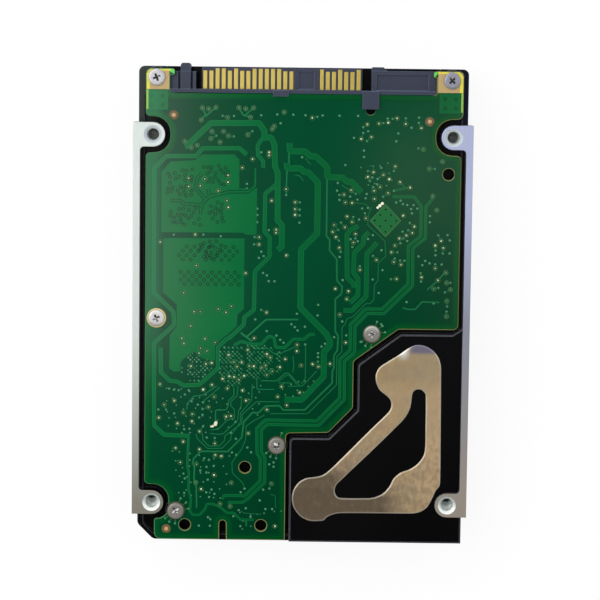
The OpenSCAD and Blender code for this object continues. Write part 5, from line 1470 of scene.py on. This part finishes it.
# seats of the screws that stand on lacquer, with short tracks out from them
seatSizes = {"seat": (1.82, 0.16), "leftSeat": (1.86, 0.3), "frontY": 10, "leftX": -29, "tick": 0.14,
             "from": 2.0, "to": 2.75, "angles": (68, 38, 8, 218, 242, 268), "end": 0.24,
             "steps": [(10, -8.6), (-3.4, -27.6)], "leftEdge": (-26.9, -44)}
rearScrews = [(x / mm, y / mm) for x, y in screwPlaces if y / mm < seatSizes["frontY"]]
leftScrew = [p for p in rearScrews if p[0] < seatSizes["leftX"] and abs(p[1]) < seatSizes["frontY"]]
plainScrews = [p for p in rearScrews if p not in leftScrew]
# a dark ring round the foot of each plain screw's head: a seat ring, darkened as painted shade
rings("screwSeats", plainScrews, seatSizes["seat"], "copper", seatShade, "contact_gold", sides=36)
rings("leftSeat", leftScrew, seatSizes["leftSeat"], "copper", padGold, "contact_gold", sides=36)


def onBoard(x, y):
    # clear of the plateau's two steps and of the left edge
    pastStep = any(x > stepX and y < stepY for stepX, stepY in seatSizes["steps"])
    edgeX, edgeY = seatSizes["leftEdge"]
    return not pastStep and not (x < edgeX and y > edgeY)


ticks = []
for screwX, screwY in plainScrews:
    for angle in seatSizes["angles"]:
        ray = Vector((math.cos(math.radians(angle)), math.sin(math.radians(angle))))
        ends = [(screwX + ray.x * seatSizes[end], screwY + ray.y * seatSizes[end])
                for end in ("from", "to")]
        if onBoard(*ends[1]):
            ticks.append((seatSizes["tick"], ends))
tracks("screwTicks", ticks, "cover", ringLacquer)
dots("tickEnds", [ends[1] for width, ends in ticks], seatSizes["end"], "tickEnd", paleLacquer)
print("screws placed:", len(screwPlaces))

# the plain stage: pale floor, soft light, and the camera over the board
stageLook = {"size": 3.0, "z": -0.4 * mm, "shadow": 0.1, "pale": (0.93, 0.93, 0.93, 1),
             "cloud": (0.9, 0.9, 0.905, 1)}
white = (1.0, 1.0, 1.0, 1.0)
floorShell = bmesh.new()
bmesh.ops.create_grid(floorShell, x_segments=8, y_segments=8, size=stageLook["size"])
bmesh.ops.translate(floorShell, verts=floorShell.verts, vec=(0, 0, stageLook["z"]))
floor = objectOf("floor", meshOf("floor", floorShell))
paper = Finish("paperFloor", Roughness=0.9)
paper.dress(Base_Color=paper.mix(paper.noise(6, 3) * 0.3, stageLook["pale"], stageLook["cloud"]))
seen = paper.node("ShaderNodeLightPath")
straight = seen.other("Is Camera Ray").most(seen.other("Is Glossy Ray"))
straight = straight.most(seen.other("Is Transmission Ray"))
glow = paper.node("ShaderNodeEmission", None, {"Color": white, "Strength": 1.0})
both = paper.node("ShaderNodeMixShader", None, {0: straight * (1 - stageLook["shadow"]),
                                                1: Wire(paper, paper.shader.outputs[0]), 2: glow})
paper.plug(paper.tree.nodes["Material Output"].inputs["Surface"], both)
floor.data.materials.append(paper.material)

# the room: pale low down, dark overhead, white to the camera
roomLook = {"low": 0.95, "high": 0.05, "highAt": (0.75, 0.4), "overhead": 0.95, "overheadAt": (0.95, 0.03)}
world = bpy.data.worlds.new("room")
bpy.context.scene.world = world
world.use_nodes = True
room = Graph(world.node_tree)
roomSide = room.node("ShaderNodeTexCoord", give="Generated")
roomUp = room.node("ShaderNodeSeparateXYZ", None, {0: roomSide}, 2)
roomLevel = roomLook["low"] + roomUp.over(*roomLook["highAt"]) * (roomLook["high"] - roomLook["low"])
roomLevel = roomLevel * (1 - roomUp.over(*roomLook["overheadAt"]) * roomLook["overhead"])
backdrop = world.node_tree.nodes["Background"]
backdrop.inputs["Color"].default_value = white
toCamera = room.node("ShaderNodeLightPath", give="Is Camera Ray")
room.plug(backdrop.inputs["Strength"], roomLevel.most(toCamera))

# soft boxes, all at one height and facing straight down
boxHeight = 0.765
softBoxes = {
    "keyBox": {"place": (-0.486, 0.4), "size": (0.84, 1.02), "power": 7.8, "colour": (1, 1, 1)},
    "sideBox": {"place": (0.37, 0.2), "size": (0.55, 0.6), "power": 1.5, "colour": (0.88, 0.92, 1.0)},
    "patchBox": {"place": (0.064, -0.012), "size": (0.042, 0.062), "power": 0.0092,
                 "colour": (1.0, 0.9, 0.74)},
}
for boxName, boxLook in softBoxes.items():
    lamp = bpy.data.lights.new(boxName, "AREA")
    lamp.shape = "RECTANGLE"
    lamp.size, lamp.size_y = boxLook["size"]
    lamp.energy = boxLook["power"]
    lamp.color = boxLook["colour"]
    box = objectOf(boxName, lamp)
    box.location = (*boxLook["place"], boxHeight)
    box.rotation_euler = Vector((0, 0, -boxHeight)).to_track_quat("-Z", "Y").to_euler()
    box.visible_camera = False

cameraLook = {"aim": (-0.00029, 0.00117, 0.0142), "tilt": 6.0, "roll": 0.686, "distance": 0.45,
              "lens": 130.37, "sensor": 36.0, "near": 0.01}
lens = bpy.data.cameras.new("overBoard")
lens.sensor_width = cameraLook["sensor"]
lens.lens = cameraLook["lens"]
lens.clip_start = cameraLook["near"]
camera = objectOf("overBoard", lens)
lean = math.radians(cameraLook["tilt"])
ahead = Vector((0, -math.sin(lean), -math.cos(lean)))
right = Vector((1, 0, 0))
above = right.cross(ahead)
roll = math.radians(cameraLook["roll"])
rightRolled = right * math.cos(roll) + above * math.sin(roll)
aboveRolled = above * math.cos(roll) - right * math.sin(roll)
camera.location = Vector(cameraLook["aim"]) - ahead * cameraLook["distance"]
camera.rotation_mode = "XYZ"
camera.rotation_euler = Matrix((rightRolled, aboveRolled, -ahead)).transposed().to_euler()
bpy.context.scene.camera = camera
bpy.context.scene.view_settings.view_transform = "Standard"

bpy.context.view_layer.update()
print("stage set")
